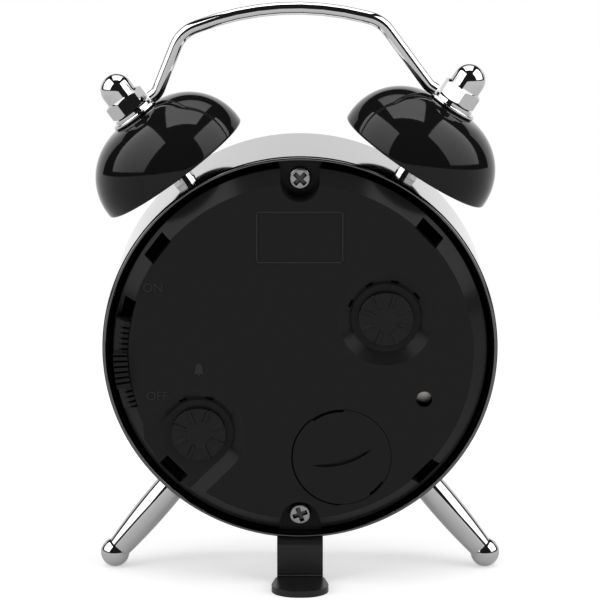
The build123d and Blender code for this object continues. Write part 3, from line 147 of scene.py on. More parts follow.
# Legs
LEG_ANGLES = (230.7, 309.3)
LEG_LENGTH = 16.2
LEG_BASE_RADIUS = 2.25
LEG_SWELL_RADIUS = 2.35
LEG_SWELL_SHARE = 0.35
LEG_NECK_RADIUS = 1.85
LEG_BALL_RADIUS = 2.25
LEG_SINK = 1.0
LEG_ROWS = 32

# Dial
DIAL_FACE = -13.9
DIAL_MARK_HEIGHT = 0.03
TICK_END = 25.8
HOUR_TICK = (2.4, 0.7)
MINUTE_TICK = (1.3, 0.28)
NUMBER_DISTANCE = 19.8
NUMBER_SIZE = 5.6

# Marks on the cover
MARK_HEIGHT = 0.12
LETTER_SIZE = 1.9
ON_SPOT = (-21.8, 10.2)
OFF_SPOT = (-21.4, -6.5)
BELL_SIGN_SPOT = (-15.1, -2.4)
BELL_SIGN_SIZE = (1.7, 2.0)
BELL_SIGN_SIDE = ((0.10, 1.0), (0.28, 0.86), (0.34, 0.55), (0.38, 0.30), (0.50, 0.18))
CLAPPER_DROP = 0.42
CLAPPER_RADIUS = 0.1
FRAME_CORNERS = ((-6.4, 21.7), (6.3, 14.1))
FRAME_LINE = 0.22
DASH_DISTANCE = 5.75
DASH_LENGTH = 1.2
DASH_WIDTH = 0.45
DASH_HEIGHT = 0.06
TIME_DASHES = (156.0, 116.0, 77.0, 38.0)
ALARM_DASHES = (114.0, 73.0)

# Painted highlight at the bend of the foot: a chrome rod on the black foot
BEND_LEVEL = -35.46
BEND_DEPTH = 0.28
BEND_HIGHLIGHT_RADIUS = 0.30
BEND_HIGHLIGHT_LENGTH = 7.0

# Meshes: merging, and what counts as a cone or a slope in true_slopes
COPY_MERGE = 2e-4
SHAPE_MERGE = 1e-4
FLAT_ANGLE = 0.3
SLOPE_LEAST = 0.05
CONE_LEAST_TILT = 0.2
CONE_MISS = 0.03
CONE_EDGE = 0.05

# Finishes
GRAIN_DETAIL = 4
RELIEF_DEPTH = 0.0001

# Stage, in metres
FLOOR_RADIUS = 3.0
FLOOR_GREY = 0.80
FLOOR_GLOW = 0.42
FLOOR_GLOW_IN_GLOSS = 0.12
FLOOR_FADE = (0.08, 0.30)
WORLD_LIGHT = 0.45
BACKDROP_HEIGHT = 0.46
BACKDROP_WIDTH = 1.3
CLOCK_MIDDLE = Vector((0, 0, 0.045))

# Camera, from the rear rim's ellipse in the photograph
CAMERA_RISE = radians(15.48)
CAMERA_DISTANCE = 0.3994
FOCAL_PIXELS = 2667.0
HALF_FRAME_PIXELS = 300.0
RIM_BELOW_MIDDLE = 51.1
NEAR_CLIP = 0.01

# A mesh made in the case's own frame needs no place of its own
IN_CASE = Matrix.Identity(4)


def radial(angle):
    """Place with z running out from the case axis at an angle, and x out of the back."""
    out = Vector((cos(radians(angle)), sin(radians(angle)), 0))
    back = Vector((0, 0, 1))
    turn = Matrix((back, out.cross(back), out)).transposed().to_4x4()
    return Matrix.Translation((0, 0, -POST_DEPTH)) @ turn


# Finishes


def finish(name, colour, roughness, metallic=0.0, grain=400.0, spread=0.03, relief=0.0, **sockets):
    """A finish whose roughness wanders a little and whose surface has a fine relief."""
    material = bpy.data.materials.new(name)
    material.use_nodes = True
    tree = material.node_tree
    shader = tree.nodes["Principled BSDF"]
    shader.inputs["Base Color"].default_value = (*colour, 1)
    shader.inputs["Metallic"].default_value = metallic
    for socket, value in sockets.items():
        shader.inputs[socket.replace("_", " ")].default_value = value
    place = tree.nodes.new("ShaderNodeTexCoord")
    noise = tree.nodes.new("ShaderNodeTexNoise")
    noise.inputs["Scale"].default_value = grain
    noise.inputs["Detail"].default_value = GRAIN_DETAIL
    tree.links.new(place.outputs["Object"], noise.inputs["Vector"])
    wander = tree.nodes.new("ShaderNodeMapRange")
    wander.inputs["To Min"].default_value = max(roughness - spread, 0.0)
    wander.inputs["To Max"].default_value = roughness + spread
    tree.links.new(noise.outputs["Fac"], wander.inputs["Value"])
    tree.links.new(wander.outputs["Result"], shader.inputs["Roughness"])
    if relief:
        bump = tree.nodes.new("ShaderNodeBump")
        bump.inputs["Strength"].default_value = relief
        bump.inputs["Distance"].default_value = RELIEF_DEPTH
        tree.links.new(noise.outputs["Fac"], bump.inputs["Height"])
        tree.links.new(bump.outputs["Normal"], shader.inputs["Normal"])
    return material


chrome = finish("chrome", (0.49, 0.49, 0.49), 0.05, metallic=1.0, grain=900, spread=0.02)
drum_chrome = finish("drum_chrome", (0.38, 0.38, 0.38), 0.05, metallic=1.0, grain=900, spread=0.02)
# A darker copy of the drum's chrome for the rolled rear rim: painted shade.
rim_chrome = finish("rim_chrome", (0.11, 0.11, 0.11), 0.08, metallic=1.0, grain=900, spread=0.02)
satin_black = finish("satin_black", (0.012, 0.012, 0.012), 0.30, grain=1200, spread=0.06, IOR=1.32)
steel = finish("steel", (0.42, 0.42, 0.42), 0.26, metallic=1.0, grain=1500, spread=0.06)
black_paint = finish("black_paint", (0.006, 0.006, 0.006), 0.06, grain=350, spread=0.015, IOR=1.26)
black_plastic = finish("black_plastic", (0.0105, 0.0105, 0.0105), 0.18, grain=1400, spread=0.04, relief=0.02,
                       IOR=1.17)
knob_black = finish("knob_black", (0.007, 0.007, 0.007), 0.14, grain=1400, spread=0.03, IOR=1.24)
# A lighter copy of the cover's black for its raised marks: painted light.
mark_black = finish("mark_black", (0.018, 0.018, 0.018), 0.25, grain=1400, spread=0.04, IOR=1.25)
# Near-black, nearly matte finish for painted shade in gaps, grooves and the sound hole, and on the knob dashes.
gap_black = finish("gap_black", (0.001, 0.001, 0.001), 0.9, spread=0.05, IOR=1.02)
# A darker copy of the screws' metal for their cross recesses: painted shade.
recess_grey = finish("recess_grey", (0.06, 0.06, 0.06), 0.35, metallic=1.0, grain=1500, spread=0.06)
screw_grey = finish("screw_grey", (0.30, 0.30, 0.30), 0.30, metallic=1.0, grain=1500, spread=0.06)
clear = finish("clear", (1, 1, 1), 0.01, grain=200, spread=0.005, Transmission_Weight=1.0, IOR=1.47)
dial_white = finish("dial_white", (0.86, 0.86, 0.84), 0.55, grain=1800, spread=0.05, relief=0.03)
# The movement frame is near-black as painted shade, so the inside of the case reads dark through the cover's
# slots.
frame_plastic = finish("frame_plastic", (0.012, 0.012, 0.012), 0.45, grain=900, spread=0.05, relief=0.03)
gear_plastic = finish("gear_plastic", (0.82, 0.80, 0.72), 0.38, grain=900, spread=0.05)
copper = finish("copper", (0.76, 0.32, 0.16), 0.30, metallic=1.0, grain=4000, spread=0.08, relief=0.3)
board = finish("board", (0.03, 0.16, 0.06), 0.35, grain=1500, spread=0.06)
brass = finish("brass", (0.40, 0.39, 0.37), 0.35, metallic=1.0, grain=1200, spread=0.06)
lead_cover = finish("lead_cover", (0.45, 0.02, 0.02), 0.45, grain=1500, spread=0.05)
hand_black = finish("hand_black", (0.01, 0.01, 0.01), 0.4, grain=1500, spread=0.05)
hand_red = finish("hand_red", (0.60, 0.02, 0.02), 0.4, grain=1500, spread=0.05)
hand_alarm = finish("hand_alarm", (0.62, 0.45, 0.05), 0.35, grain=1500, spread=0.05)
finishes = {
    "chrome": chrome,
    "steel": steel,
    "black_paint": black_paint,
    "black_plastic": black_plastic,
    "clear": clear,
    "dial_white": dial_white,
    "frame_plastic": frame_plastic,
    "gear_plastic": gear_plastic,
    "copper": copper,
    "board": board,
    "brass": brass,
    "lead_cover": lead_cover,
    "hand_black": hand_black,
    "hand_red": hand_red,
    "hand_alarm": hand_alarm,
}
slot_of = {entry["node"]: entry["material_slot"] for entry in frame["record"]["subparts"]}
for node, solid in frame["nodes"].items():
    solid.data.materials.clear()
    solid.data.materials.append(finishes[slot_of[node]])


# Making pieces


def show(bm, name, place, slot, body="case", node=None, crease=32, surface=None):
    """Put a finished mesh in its place, as a piece that rides on a body."""
    bmesh.ops.transform(bm, matrix=CASE @ place, verts=bm.verts)
    mesh = bpy.data.meshes.new(name)
    bm.to_mesh(mesh)
    bm.free()
    mesh.shade_smooth()
    mesh.set_sharp_from_angle(angle=radians(crease))
    mesh.materials.append(surface or finishes[slot])
    piece = bpy.data.objects.new(name, mesh)
    scene.collection.objects.link(piece)
    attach(piece, body)
    if node:
        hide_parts(node)
    return piece


def only(kind, grown):
    """The vertices or the edges among what an operator made."""
    return [item for item in grown["geom"] if isinstance(item, kind)]


def bow(middle, radius, start, end, steps=8):
    """Points on an arc, with both its ends."""
    turns = [radians(start + (end - start) * step / steps) for step in range(steps + 1)]
    return [(middle[0] + radius * cos(turn), middle[1] + radius * sin(turn)) for turn in turns]


def held(profile, hold=0.12):
    """The same profile with a point near both ends of each long run, so that flat runs shade flat."""
    points = []
    for here, there in zip(profile, profile[1:]):
        start, end = Vector(here), Vector(there)
        points.append(tuple(start))
        if (end - start).length > 4 * hold:
            way = (end - start).normalized() * hold
            points += [tuple(start + way), tuple(end - way)]
    return points + [tuple(profile[-1])]


def turned(bm, profile, steps=160):
    """Spin a profile of radius and height round the z axis."""
    points = [bm.verts.new((radius, 0, height)) for radius, height in held(profile)]
    edges = [bm.edges.new(pair) for pair in zip(points, points[1:])]
    bmesh.ops.spin(
        bm, geom=points + edges, axis=(0, 0, 1), cent=(0, 0, 0), angle=tau, steps=steps, use_merge=True,
    )
    bmesh.ops.remove_doubles(bm, verts=bm.verts, dist=SHAPE_MERGE)
    bmesh.ops.recalc_face_normals(bm, faces=bm.faces)


def dressed(node, body="case", width=0.0, crease=32, surface=None):
    """A merged copy of a solid's mesh, shaded smooth over its curved faces, with its edges eased."""
    bm = bmesh.new()
    bm.from_mesh(frame["nodes"][node].data)
    bmesh.ops.transform(bm, matrix=CASE.inverted(), verts=bm.verts)
    bmesh.ops.remove_doubles(bm, verts=bm.verts, dist=COPY_MERGE)
    bmesh.ops.dissolve_limit(bm, angle_limit=radians(FLAT_ANGLE), verts=bm.verts, edges=bm.edges)
    piece = show(bm, node + "_skin", IN_CASE, slot_of[node], body, node, crease, surface)
    if width:
        rounding = piece.modifiers.new("eased_edges", "BEVEL")
        rounding.width = width * MILLIMETRE
        rounding.segments = 2
        rounding.limit_method = "ANGLE"
        rounding.angle_limit = radians(crease)
        rounding.harden_normals = True
        rounding.use_clamp_overlap = False
    return piece


def true_slopes(piece, cones):
    """Shade the cones and flats of a cut solid by their true slope, whatever its triangles are."""
    mesh = piece.data
    back, turn = CASE.inverted(), axes.to_3x3()
    spots = [back @ vert.co for vert in mesh.vertices]
    normals = [corner.vector.copy() for corner in mesh.corner_normals]
    for face in mesh.polygons:
        tilt = (turn.inverted() @ face.normal).z
        if abs(tilt) > SLOPE_LEAST:
            for loop in face.loop_indices:
                normals[loop] = face.normal.copy()
        for (x, y), (low, foot), (high, mouth) in cones:
            rise = (mouth - foot) / (high - low)
            reaches = [sqrt((spots[index].x - x) ** 2 + (spots[index].y - y) ** 2) for index in face.vertices]
            misses = [
                abs(spots[index].z - foot - (reach - low) * rise)
                for index, reach in zip(face.vertices, reaches)
            ]
            nearest = min(low, high) - CONE_EDGE
            if tilt < CONE_LEAST_TILT or max(misses) > CONE_MISS or min(reaches) < nearest:
                continue
            for loop, index in zip(face.loop_indices, face.vertices):
                out = Vector((spots[index].x - x, spots[index].y - y, 0)).normalized()
                normals[loop] = turn @ (Vector((0, 0, 1)) - out * rise).normalized()
    mesh.normals_split_custom_set(normals)


# Case drum


def case_drum():
    """Thin bright drum with a rolled rear rim and a lip round the lens; the rim's chrome is darker, as painted
    shade.
    """
    inner = DRUM_RADIUS - DRUM_WALL
    roll = DRUM_WALL / 2
    lip = inner - LIP_WIDTH
    profile = bow((inner + roll, -roll), roll, 180, 0)
    profile += bow((DRUM_RADIUS - LIP_ROUND, LIP_ROUND - DRUM_DEPTH), LIP_ROUND, 0, -90)
    profile += bow((lip + roll, LIP_THICKNESS / 2 - DRUM_DEPTH), LIP_THICKNESS / 2, 270, 90)
    profile += [(inner, LIP_THICKNESS - DRUM_DEPTH), profile[0]]
    bm = bmesh.new()
    turned(bm, profile, steps=240)
    # Faces of the rolled rear rim take the darker chrome, as painted shade.
    for face in bm.faces:
        face.material_index = 1 if face.calc_center_median().z > -RIM_SHADE_DEPTH else 0
    shell = show(bm, "drum_shell", IN_CASE, "chrome", node="case_drum", surface=drum_chrome)
    shell.data.materials.append(rim_chrome)


case_drum()


# Bells with their washers and acorn nuts


def bell_dome(angle, node):
    """A deep dome with a short straight skirt and a thin rolled lip."""
    shoulder = BELL_RIM + BELL_SKIRT
    reach, rise = BELL_RADIUS - BELL_FLAT, BELL_APEX - shoulder
    quarter = [step * pi / (2 * BELL_ROWS) for step in range(BELL_ROWS + 1)]
    lip = bow((BELL_RADIUS - BELL_WALL / 2, BELL_RIM + BELL_WALL / 2), BELL_WALL / 2, 180, 360)
    outer = [(BELL_FLAT + reach * cos(turn), shoulder + rise * sin(turn)) for turn in quarter]
    inner_reach, inner_rise = reach - BELL_WALL, rise - BELL_WALL
    inner = [(BELL_FLAT + inner_reach * cos(turn), shoulder + inner_rise * sin(turn)) for turn in quarter]
    bore = [(STUD_RADIUS, BELL_APEX), (STUD_RADIUS, BELL_APEX - BELL_WALL)]
    bm = bmesh.new()
    turned(bm, lip + outer + bore + inner[::-1] + lip[:1], steps=360)
    show(bm, node + "_dome", radial(angle), "black_paint", node=node, crease=40)


def join(bm, part, place):
    """Add a part to a mesh, in its place."""
    bmesh.ops.transform(part, matrix=place, verts=part.verts)
    shape = bpy.data.meshes.new("part")
    part.to_mesh(shape)
    part.free()
    bm.from_mesh(shape)
    bpy.data.meshes.remove(shape)


def hexagon(flats, height, chamfer=0.25):
    """A nut's hexagon whose corners are cut back by a cone at both ends."""
    bm = bmesh.new()
    inner = flats / 2 - chamfer
    bmesh.ops.create_circle(bm, segments=72, radius=inner)
    edges = bm.edges[:]
    for row in range(3):
        grown = bmesh.ops.extrude_edge_only(bm, edges=edges)
        edges = only(bmesh.types.BMEdge, grown)
        for vert in only(bmesh.types.BMVert, grown):
            turn = atan2(vert.co.y, vert.co.x)
            reach = flats / 2 / cos((turn + pi / 6) % (pi / 3) - pi / 6)
            fall = (reach - inner) * tan(radians(30))
            radius, level = ((reach, fall), (reach, height - fall), (inner, height))[row]
            vert.co = (radius * cos(turn), radius * sin(turn), level)
    bmesh.ops.holes_fill(bm, edges=bm.edges, sides=0)
    bmesh.ops.recalc_face_normals(bm, faces=bm.faces)
    return bm


def acorn_nuts():
    """Two hexagon nuts with a domed end."""
    level = BELL_APEX + EYE_THICKNESS + WASHER_THICKNESS
    dome_level = NUT_HEIGHT - NUT_DOME_RADIUS
    bm = bmesh.new()
    for angle, turn in zip(BELL_ANGLES, NUT_TURNS):
        place = radial(angle) @ Matrix.Translation((0, 0, level))
        join(bm, hexagon(NUT_FLATS, NUT_HEX_HEIGHT), place @ Matrix.Rotation(radians(turn), 4, "Z"))
        dome = bmesh.new()
        round_end = bow((0, dome_level), NUT_DOME_RADIUS, 0, 90, 16)
        turned(dome, [(NUT_DOME_RADIUS, NUT_HEX_HEIGHT / 2)] + round_end, 64)
        join(bm, dome, place)
    show(bm, "acorn_nuts", IN_CASE, "chrome", node="cap_nuts", crease=24)


bell_dome(BELL_ANGLES[0], "bell_left")
bell_dome(BELL_ANGLES[1], "bell_right")
acorn_nuts()


# Handle


def bent_route(corners, radii, step=4.0):
    """Points along straight runs in a plane, joined by arcs."""
    route = [Vector(corners[0])]
    for before, corner, after, radius in zip(corners, corners[1:], corners[2:], radii):
        corner = Vector(corner)
        back = (Vector(before) - corner).normalized()
        onward = (Vector(after) - corner).normalized()
        half = back.angle(onward) / 2
        middle = corner + (back + onward).normalized() * radius / sin(half)
        first = corner + back * radius / tan(half) - middle
        last = corner + onward * radius / tan(half) - middle
        start = atan2(first.y, first.x)
        sweep = (atan2(last.y, last.x) - start + pi) % tau - pi
        steps = max(int(abs(degrees(sweep)) / step), 2)
        route += [
            middle + radius * Vector((cos(start + sweep * turn / steps), sin(start + sweep * turn / steps)))
            for turn in range(steps + 1)
        ]
    return route + [Vector(corners[-1])]


def swept(bm, route, radius, sides=32):
    """A round wire along a route in the x-y plane."""
    runs = [(there - here).normalized() for here, there in zip(route, route[1:])]
    ways = [runs[0]] + [(before + after).normalized() for before, after in zip(runs, runs[1:])] + [runs[-1]]
    ring = bmesh.ops.create_circle(bm, segments=sides, radius=radius)["verts"]
    edges = bm.edges[:]
    stood = None
    for spot, way in zip(route, ways):
        along = way.to_3d()
        up = Vector((0, 0, 1))
        place = Matrix.Translation(spot.to_3d()) @ Matrix((up.cross(along), up, along)).transposed().to_4x4()
        if stood is None:
            bmesh.ops.transform(bm, matrix=place, verts=ring)
        else:
            grown = bmesh.ops.extrude_edge_only(bm, edges=edges)
            ring = only(bmesh.types.BMVert, grown)
            edges = only(bmesh.types.BMEdge, grown)
            bmesh.ops.transform(bm, matrix=place @ stood.inverted(), verts=ring)
        stood = place
    bmesh.ops.holes_fill(bm, edges=bm.edges, sides=0)


def handle():
    """Bent wire with a flat eye under each nut."""
    level = BELL_APEX + WIRE_RADIUS + HANDLE_GAP
    ends = []
    for angle, side in zip(BELL_ANGLES, (-1, 1)):
        turn = radians(angle - HANDLE_TURN)
        out, across = Vector((cos(turn), sin(turn))), side * Vector((-sin(turn), cos(turn)))
        ends.append([out * level + across * HANDLE_START, out * level + across * HANDLE_RUN])
    shoulder = level + SHOULDER_RISE
    corners = ends[1] + [
        (SHOULDER_REACH, shoulder), (0, shoulder + ARCH_RISE), (-SHOULDER_REACH, shoulder),
    ] + ends[0][::-1]
    bm = bmesh.new()
    swept(bm, bent_route(corners, HANDLE_BENDS), WIRE_RADIUS)
    place = Matrix.Translation((0, 0, -POST_DEPTH)) @ Matrix.Rotation(radians(HANDLE_TURN), 4, "Z")
    bmesh.ops.transform(bm, matrix=place, verts=bm.verts)
    for angle in BELL_ANGLES:
        eye = bmesh.new()
        half = EYE_THICKNESS / 2
        edge = bow((EYE_RADIUS - half, half), half, -90, 90, 8)
        turned(eye, [(STUD_RADIUS, 0), (EYE_RADIUS - half, 0)] + edge + [(STUD_RADIUS, EYE_THICKNESS)], 96)
        join(bm, eye, radial(angle) @ Matrix.Translation((0, 0, BELL_APEX)))
    bmesh.ops.recalc_face_normals(bm, faces=bm.faces)
    show(bm, "handle_wire", IN_CASE, "chrome", node="handle", crease=50)


handle()


# Legs


def leg(angle, node):
    """Turned leg that swells a little, narrows to a neck and ends in a ball."""
    ball = DRUM_RADIUS + LEG_LENGTH
    neck_angle = atan2(sqrt(LEG_BALL_RADIUS ** 2 - LEG_NECK_RADIUS ** 2), LEG_NECK_RADIUS)
    neck = ball - LEG_BALL_RADIUS * sin(neck_angle)
    swell = DRUM_RADIUS + LEG_LENGTH * LEG_SWELL_SHARE
    profile = [(LEG_BASE_RADIUS, DRUM_RADIUS - LEG_SINK)]
    for step in range(LEG_ROWS + 1):
        height = DRUM_RADIUS + (neck - DRUM_RADIUS) * step / LEG_ROWS
        rise = (height - swell) * (height - neck) / ((DRUM_RADIUS - swell) * (DRUM_RADIUS - neck))
        crest = (height - DRUM_RADIUS) * (height - neck) / ((swell - DRUM_RADIUS) * (swell - neck))
        waist = (height - DRUM_RADIUS) * (height - swell) / ((neck - DRUM_RADIUS) * (neck - swell))
        profile.append((LEG_BASE_RADIUS * rise + LEG_SWELL_RADIUS * crest + LEG_NECK_RADIUS * waist, height))
    profile += bow((0, ball), LEG_BALL_RADIUS, -degrees(neck_angle), 90, 24)[1:]
    bm = bmesh.new()
    turned(bm, profile, steps=96)
    show(bm, node + "_turned", radial(angle), "chrome", node=node, crease=20)


leg(LEG_ANGLES[0], "leg_left")
leg(LEG_ANGLES[1], "leg_right")


# Cover screws


def screw_head():
    """Low round head with a cross recess, its top at zero."""
    bm = bmesh.new()
    half, arm = SCREW_CROSS_WIDTH / 2, SCREW_CROSS_LENGTH / 2
    quarter = [(arm, -half), (arm, half), (half, half)]
    outline = []
    for turn in range(4):
        spin = Matrix.Rotation(turn * pi / 2, 2)
        outline += [spin @ Vector(point) for point in quarter]
    recess = [bm.verts.new((point.x, point.y, 0)) for point in outline]
    recess_edges = [bm.edges.new(pair) for pair in zip(recess, recess[1:] + recess[:1])]
    flat = SCREW_HEAD_RADIUS - SCREW_HEAD_ROUND
    bmesh.ops.create_circle(bm, segments=48, radius=flat)
    rim_edges = [edge for edge in bm.edges if edge not in recess_edges]
    bmesh.ops.triangle_fill(bm, use_beauty=True, edges=recess_edges + rim_edges)
    sunk = bmesh.ops.extrude_edge_only(bm, edges=recess_edges)
    floor_edges = only(bmesh.types.BMEdge, sunk)
    for vert in only(bmesh.types.BMVert, sunk):
        vert.co = (vert.co.x * SCREW_CROSS_TAPER, vert.co.y * SCREW_CROSS_TAPER, -SCREW_CROSS_DEPTH)
    bmesh.ops.triangle_fill(bm, use_beauty=True, edges=floor_edges)
    # Faces in the recess take the second, darker finish, as painted shade.
    for face in bm.faces:
        face.material_index = 1 if face.calc_center_median().z < 0 else 0
    side = bow((flat, -SCREW_HEAD_ROUND), SCREW_HEAD_ROUND, 90, 0, 5)[1:]
    side.append((SCREW_HEAD_RADIUS, -SCREW_HEAD_HEIGHT))
    for radius, level in side:
        grown = bmesh.ops.extrude_edge_only(bm, edges=rim_edges)
        rim_edges = only(bmesh.types.BMEdge, grown)
        for vert in only(bmesh.types.BMVert, grown):
            turn = atan2(vert.co.y, vert.co.x)
            vert.co = (radius * cos(turn), radius * sin(turn), level)
    bmesh.ops.holes_fill(bm, edges=rim_edges, sides=0)
    bmesh.ops.recalc_face_normals(bm, faces=bm.faces)
    return bm


def cover_screws():
    """Two screw heads, each with its recess painted darker, as shade."""
    bm = bmesh.new()
    for spot, turn in zip((SCREW_DISTANCE, -SCREW_DISTANCE), SCREW_TURNS):
        place = Matrix.Translation((0, spot, SCREW_TOP)) @ Matrix.Rotation(radians(turn), 4, "Z")
        join(bm, screw_head(), place)
    heads = show(
        bm, "screw_heads", IN_CASE, "steel", node="cover_screws", crease=30, surface=screw_grey,
    )
    heads.data.materials.append(recess_grey)


cover_screws()


# Pieces that keep their solid's shape
true_slopes(dressed("back_cover", crease=14), [
    ((0, 0), (PLATE_RADIUS, PLATE_TOP), (BEVEL_RADIUS, BEVEL_SHARP_FOOT)),
    (TIME_SPOT, (DISH_FLOOR_RADIUS, DISH_FLOOR), (DISH_MOUTH_RADIUS, PLATE_TOP)),
    (ALARM_SPOT, (DISH_FLOOR_RADIUS, DISH_FLOOR), (DISH_MOUTH_RADIUS, PLATE_TOP)),
])
dressed("time_knob", "time_setter", width=0.12, crease=20, surface=knob_black)
dressed("alarm_knob", "alarm_setter", width=0.12, crease=20, surface=knob_black)
dressed("alarm_switch", "slide", crease=14)
dressed("battery_door", "door", crease=20)
dressed("rear_foot", crease=24, surface=satin_black)
for node in ("bell_washers", "bell_posts", "foot_screw", "lens", "dial_ring"):
    dressed(node, crease=24)


# Raised and sunk marks on the cover


def bar(bm, spot, length, width, height, turn, slope=0.0):
    """Add a thin bar that lies on a surface at a spot, turned in its plane and tipped by a slope."""
    place = Matrix.Translation(spot) @ Matrix.Rotation(radians(turn), 4, "Z") @ Matrix.Rotation(slope, 4, "Y")
    bmesh.ops.create_cube(bm, size=1.0, matrix=place @ Matrix.Diagonal((width, length, height, 1)))


def letters(text, size, height):
    """Raised letters as a mesh, with their middle at zero."""
    curve = bpy.data.curves.new("letters", "FONT")
    curve.body = text
    curve.size = size
    curve.extrude = height / 2
    curve.align_x = "CENTER"
    curve.align_y = "CENTER"
    holder = bpy.data.objects.new("letters", curve)
    bm = bmesh.new()
    bm.from_mesh(holder.to_mesh())
    holder.to_mesh_clear()
    bpy.data.objects.remove(holder)
    bpy.data.curves.remove(curve)
    bmesh.ops.remove_doubles(bm, verts=bm.verts, dist=SHAPE_MERGE)
    return bm


def bell_sign(width, height, depth):
    """A small bell outline with its clapper."""
    outline = [(x * width, (y - 0.5) * height) for x, y in BELL_SIGN_SIDE]
    outline += [(-x, y) for x, y in reversed(outline)]
    bm = bmesh.new()
    verts = [bm.verts.new((x, y, depth / 2)) for x, y in outline]
    face = bm.faces.new(verts)
    clapper = Matrix.Translation((0, -CLAPPER_DROP * height, depth / 2))
    bmesh.ops.create_circle(bm, cap_ends=True, segments=16, radius=CLAPPER_RADIUS * width, matrix=clapper)
    grown = bmesh.ops.extrude_face_region(bm, geom=[face] + [other for other in bm.faces if other != face])
    bmesh.ops.translate(bm, vec=(0, 0, -depth), verts=only(bmesh.types.BMVert, grown))
    bmesh.ops.recalc_face_normals(bm, faces=bm.faces)
    return bm


def cover_marks():
    """ON, OFF, the bell sign and an empty frame, all raised from the cover, in a lighter black as painted light.
    """
    bm = bmesh.new()
    for text, spot in (("ON", ON_SPOT), ("OFF", OFF_SPOT)):
        join(bm, letters(text, LETTER_SIZE, 2 * MARK_HEIGHT), Matrix.Translation((*spot, PLATE_TOP)))
    join(bm, bell_sign(*BELL_SIGN_SIZE, 2 * MARK_HEIGHT), Matrix.Translation((*BELL_SIGN_SPOT, PLATE_TOP)))
    (left, top), (right, bottom) = FRAME_CORNERS
    across, along = (left + right) / 2, (bottom + top) / 2
    for level in (top, bottom):
        bar(bm, (across, level, PLATE_TOP), FRAME_LINE, right - left + FRAME_LINE, 2 * MARK_HEIGHT, 0)
    for side in (left, right):
        bar(bm, (side, along, PLATE_TOP), top - bottom + FRAME_LINE, FRAME_LINE, 2 * MARK_HEIGHT, 0)
    show(bm, "cover_marks", IN_CASE, "black_plastic", crease=20, surface=mark_black)


def knob_marks():
    """Sunk dashes on the slope round each knob, near-black as painted shade."""
    bm = bmesh.new()
    run, rise = DISH_MOUTH_RADIUS - DISH_FLOOR_RADIUS, PLATE_TOP - DISH_FLOOR
    slope = atan2(rise, run)
    level = DISH_FLOOR + (DASH_DISTANCE - DISH_FLOOR_RADIUS) * rise / run
    for middle_spot, turns in ((TIME_SPOT, TIME_DASHES), (ALARM_SPOT, ALARM_DASHES)):
        for turn in turns:
            x = middle_spot[0] + DASH_DISTANCE * cos(radians(turn))
            y = middle_spot[1] + DASH_DISTANCE * sin(radians(turn))
            bar(bm, (x, y, level), DASH_LENGTH, DASH_WIDTH, DASH_HEIGHT, turn, -slope)
    show(bm, "knob_marks", IN_CASE, "black_plastic", surface=gap_black)


def bend_line():
    """A chrome rod in the bend where the foot's strip turns into its pad, as a painted highlight."""
    bm = bmesh.new()
    place = Matrix.Translation((0, BEND_LEVEL, BEND_DEPTH)) @ Matrix.Rotation(pi / 2, 4, "Y")
    bmesh.ops.create_cone(
        bm, cap_ends=True, segments=24, radius1=BEND_HIGHLIGHT_RADIUS, radius2=BEND_HIGHLIGHT_RADIUS,
        depth=BEND_HIGHLIGHT_LENGTH, matrix=place,
    )
    show(bm, "bend_line", IN_CASE, "chrome")


def dial_marks():
    """Ticks and numbers on the dial."""
    bm = bmesh.new()
    for tick in range(60):
        turn = tick * 6.0
        length, width = HOUR_TICK if tick % 5 == 0 else MINUTE_TICK
        reach = TICK_END - length / 2
        spot = (reach * cos(radians(turn)), reach * sin(radians(turn)), 0)
        bar(bm, spot, width, length, 2 * DIAL_MARK_HEIGHT, turn)
    for hour in range(1, 13):
        turn = radians(90 - 30 * hour)
        spot = Matrix.Translation((NUMBER_DISTANCE * cos(turn), NUMBER_DISTANCE * sin(turn), 0))
        join(bm, letters(str(hour), NUMBER_SIZE, 2 * DIAL_MARK_HEIGHT), spot)
    place = Matrix.Translation((0, 0, DIAL_FACE)) @ Matrix.Rotation(pi, 4, "Y")
    show(bm, "dial_marks", place, "hand_black", crease=20)


def arc_band(bm, profile, start, end, steps):
    """Add a closed profile of radius and height, spun through part of a turn."""
    across, along = cos(radians(start)), sin(radians(start))
    points = [bm.verts.new((radius * across, radius * along, level)) for radius, level in profile]
    face = bm.faces.new(points)
    bmesh.ops.spin(
        bm, geom=[face], axis=(0, 0, 1), cent=(0, 0, 0), angle=radians(end - start), steps=steps,
        use_merge=False,
    )
    bmesh.ops.recalc_face_normals(bm, faces=bm.faces)


def groove_shade():
    """A near-black band in the deep groove round the cover, as painted shade, open at the screw notches."""
    skin = GROOVE_SKIN
    profile = [
        (BEVEL_RADIUS + skin, BEVEL_FOOT), (BEVEL_RADIUS + 2 * skin, BEVEL_FOOT),
        (BEVEL_RADIUS + 2 * skin, GROOVE_FLOOR + 2 * skin), (GROOVE_OUTER, GROOVE_FLOOR + 2 * skin),
        (GROOVE_OUTER, GROOVE_FLOOR + skin), (BEVEL_RADIUS + skin, GROOVE_FLOOR + skin),
    ]
    bm = bmesh.new()
    for start in (90 + NOTCH_HALF_ANGLE, 270 + NOTCH_HALF_ANGLE):
        arc_band(bm, profile, start, start + 180 - 2 * NOTCH_HALF_ANGLE, 90)
    show(bm, "groove_shade", IN_CASE, "black_plastic", surface=gap_black)


def rim_line():
    """A near-black ring under the rolled rim, as painted shade."""
    bm = bmesh.new()
    turned(bm, bow((DRUM_RADIUS, -RIM_SHADE_DEPTH), RIM_SHADE_RADIUS, 0, 360, 12), steps=240)
    show(bm, "rim_line", IN_CASE, "black_paint", surface=gap_black)


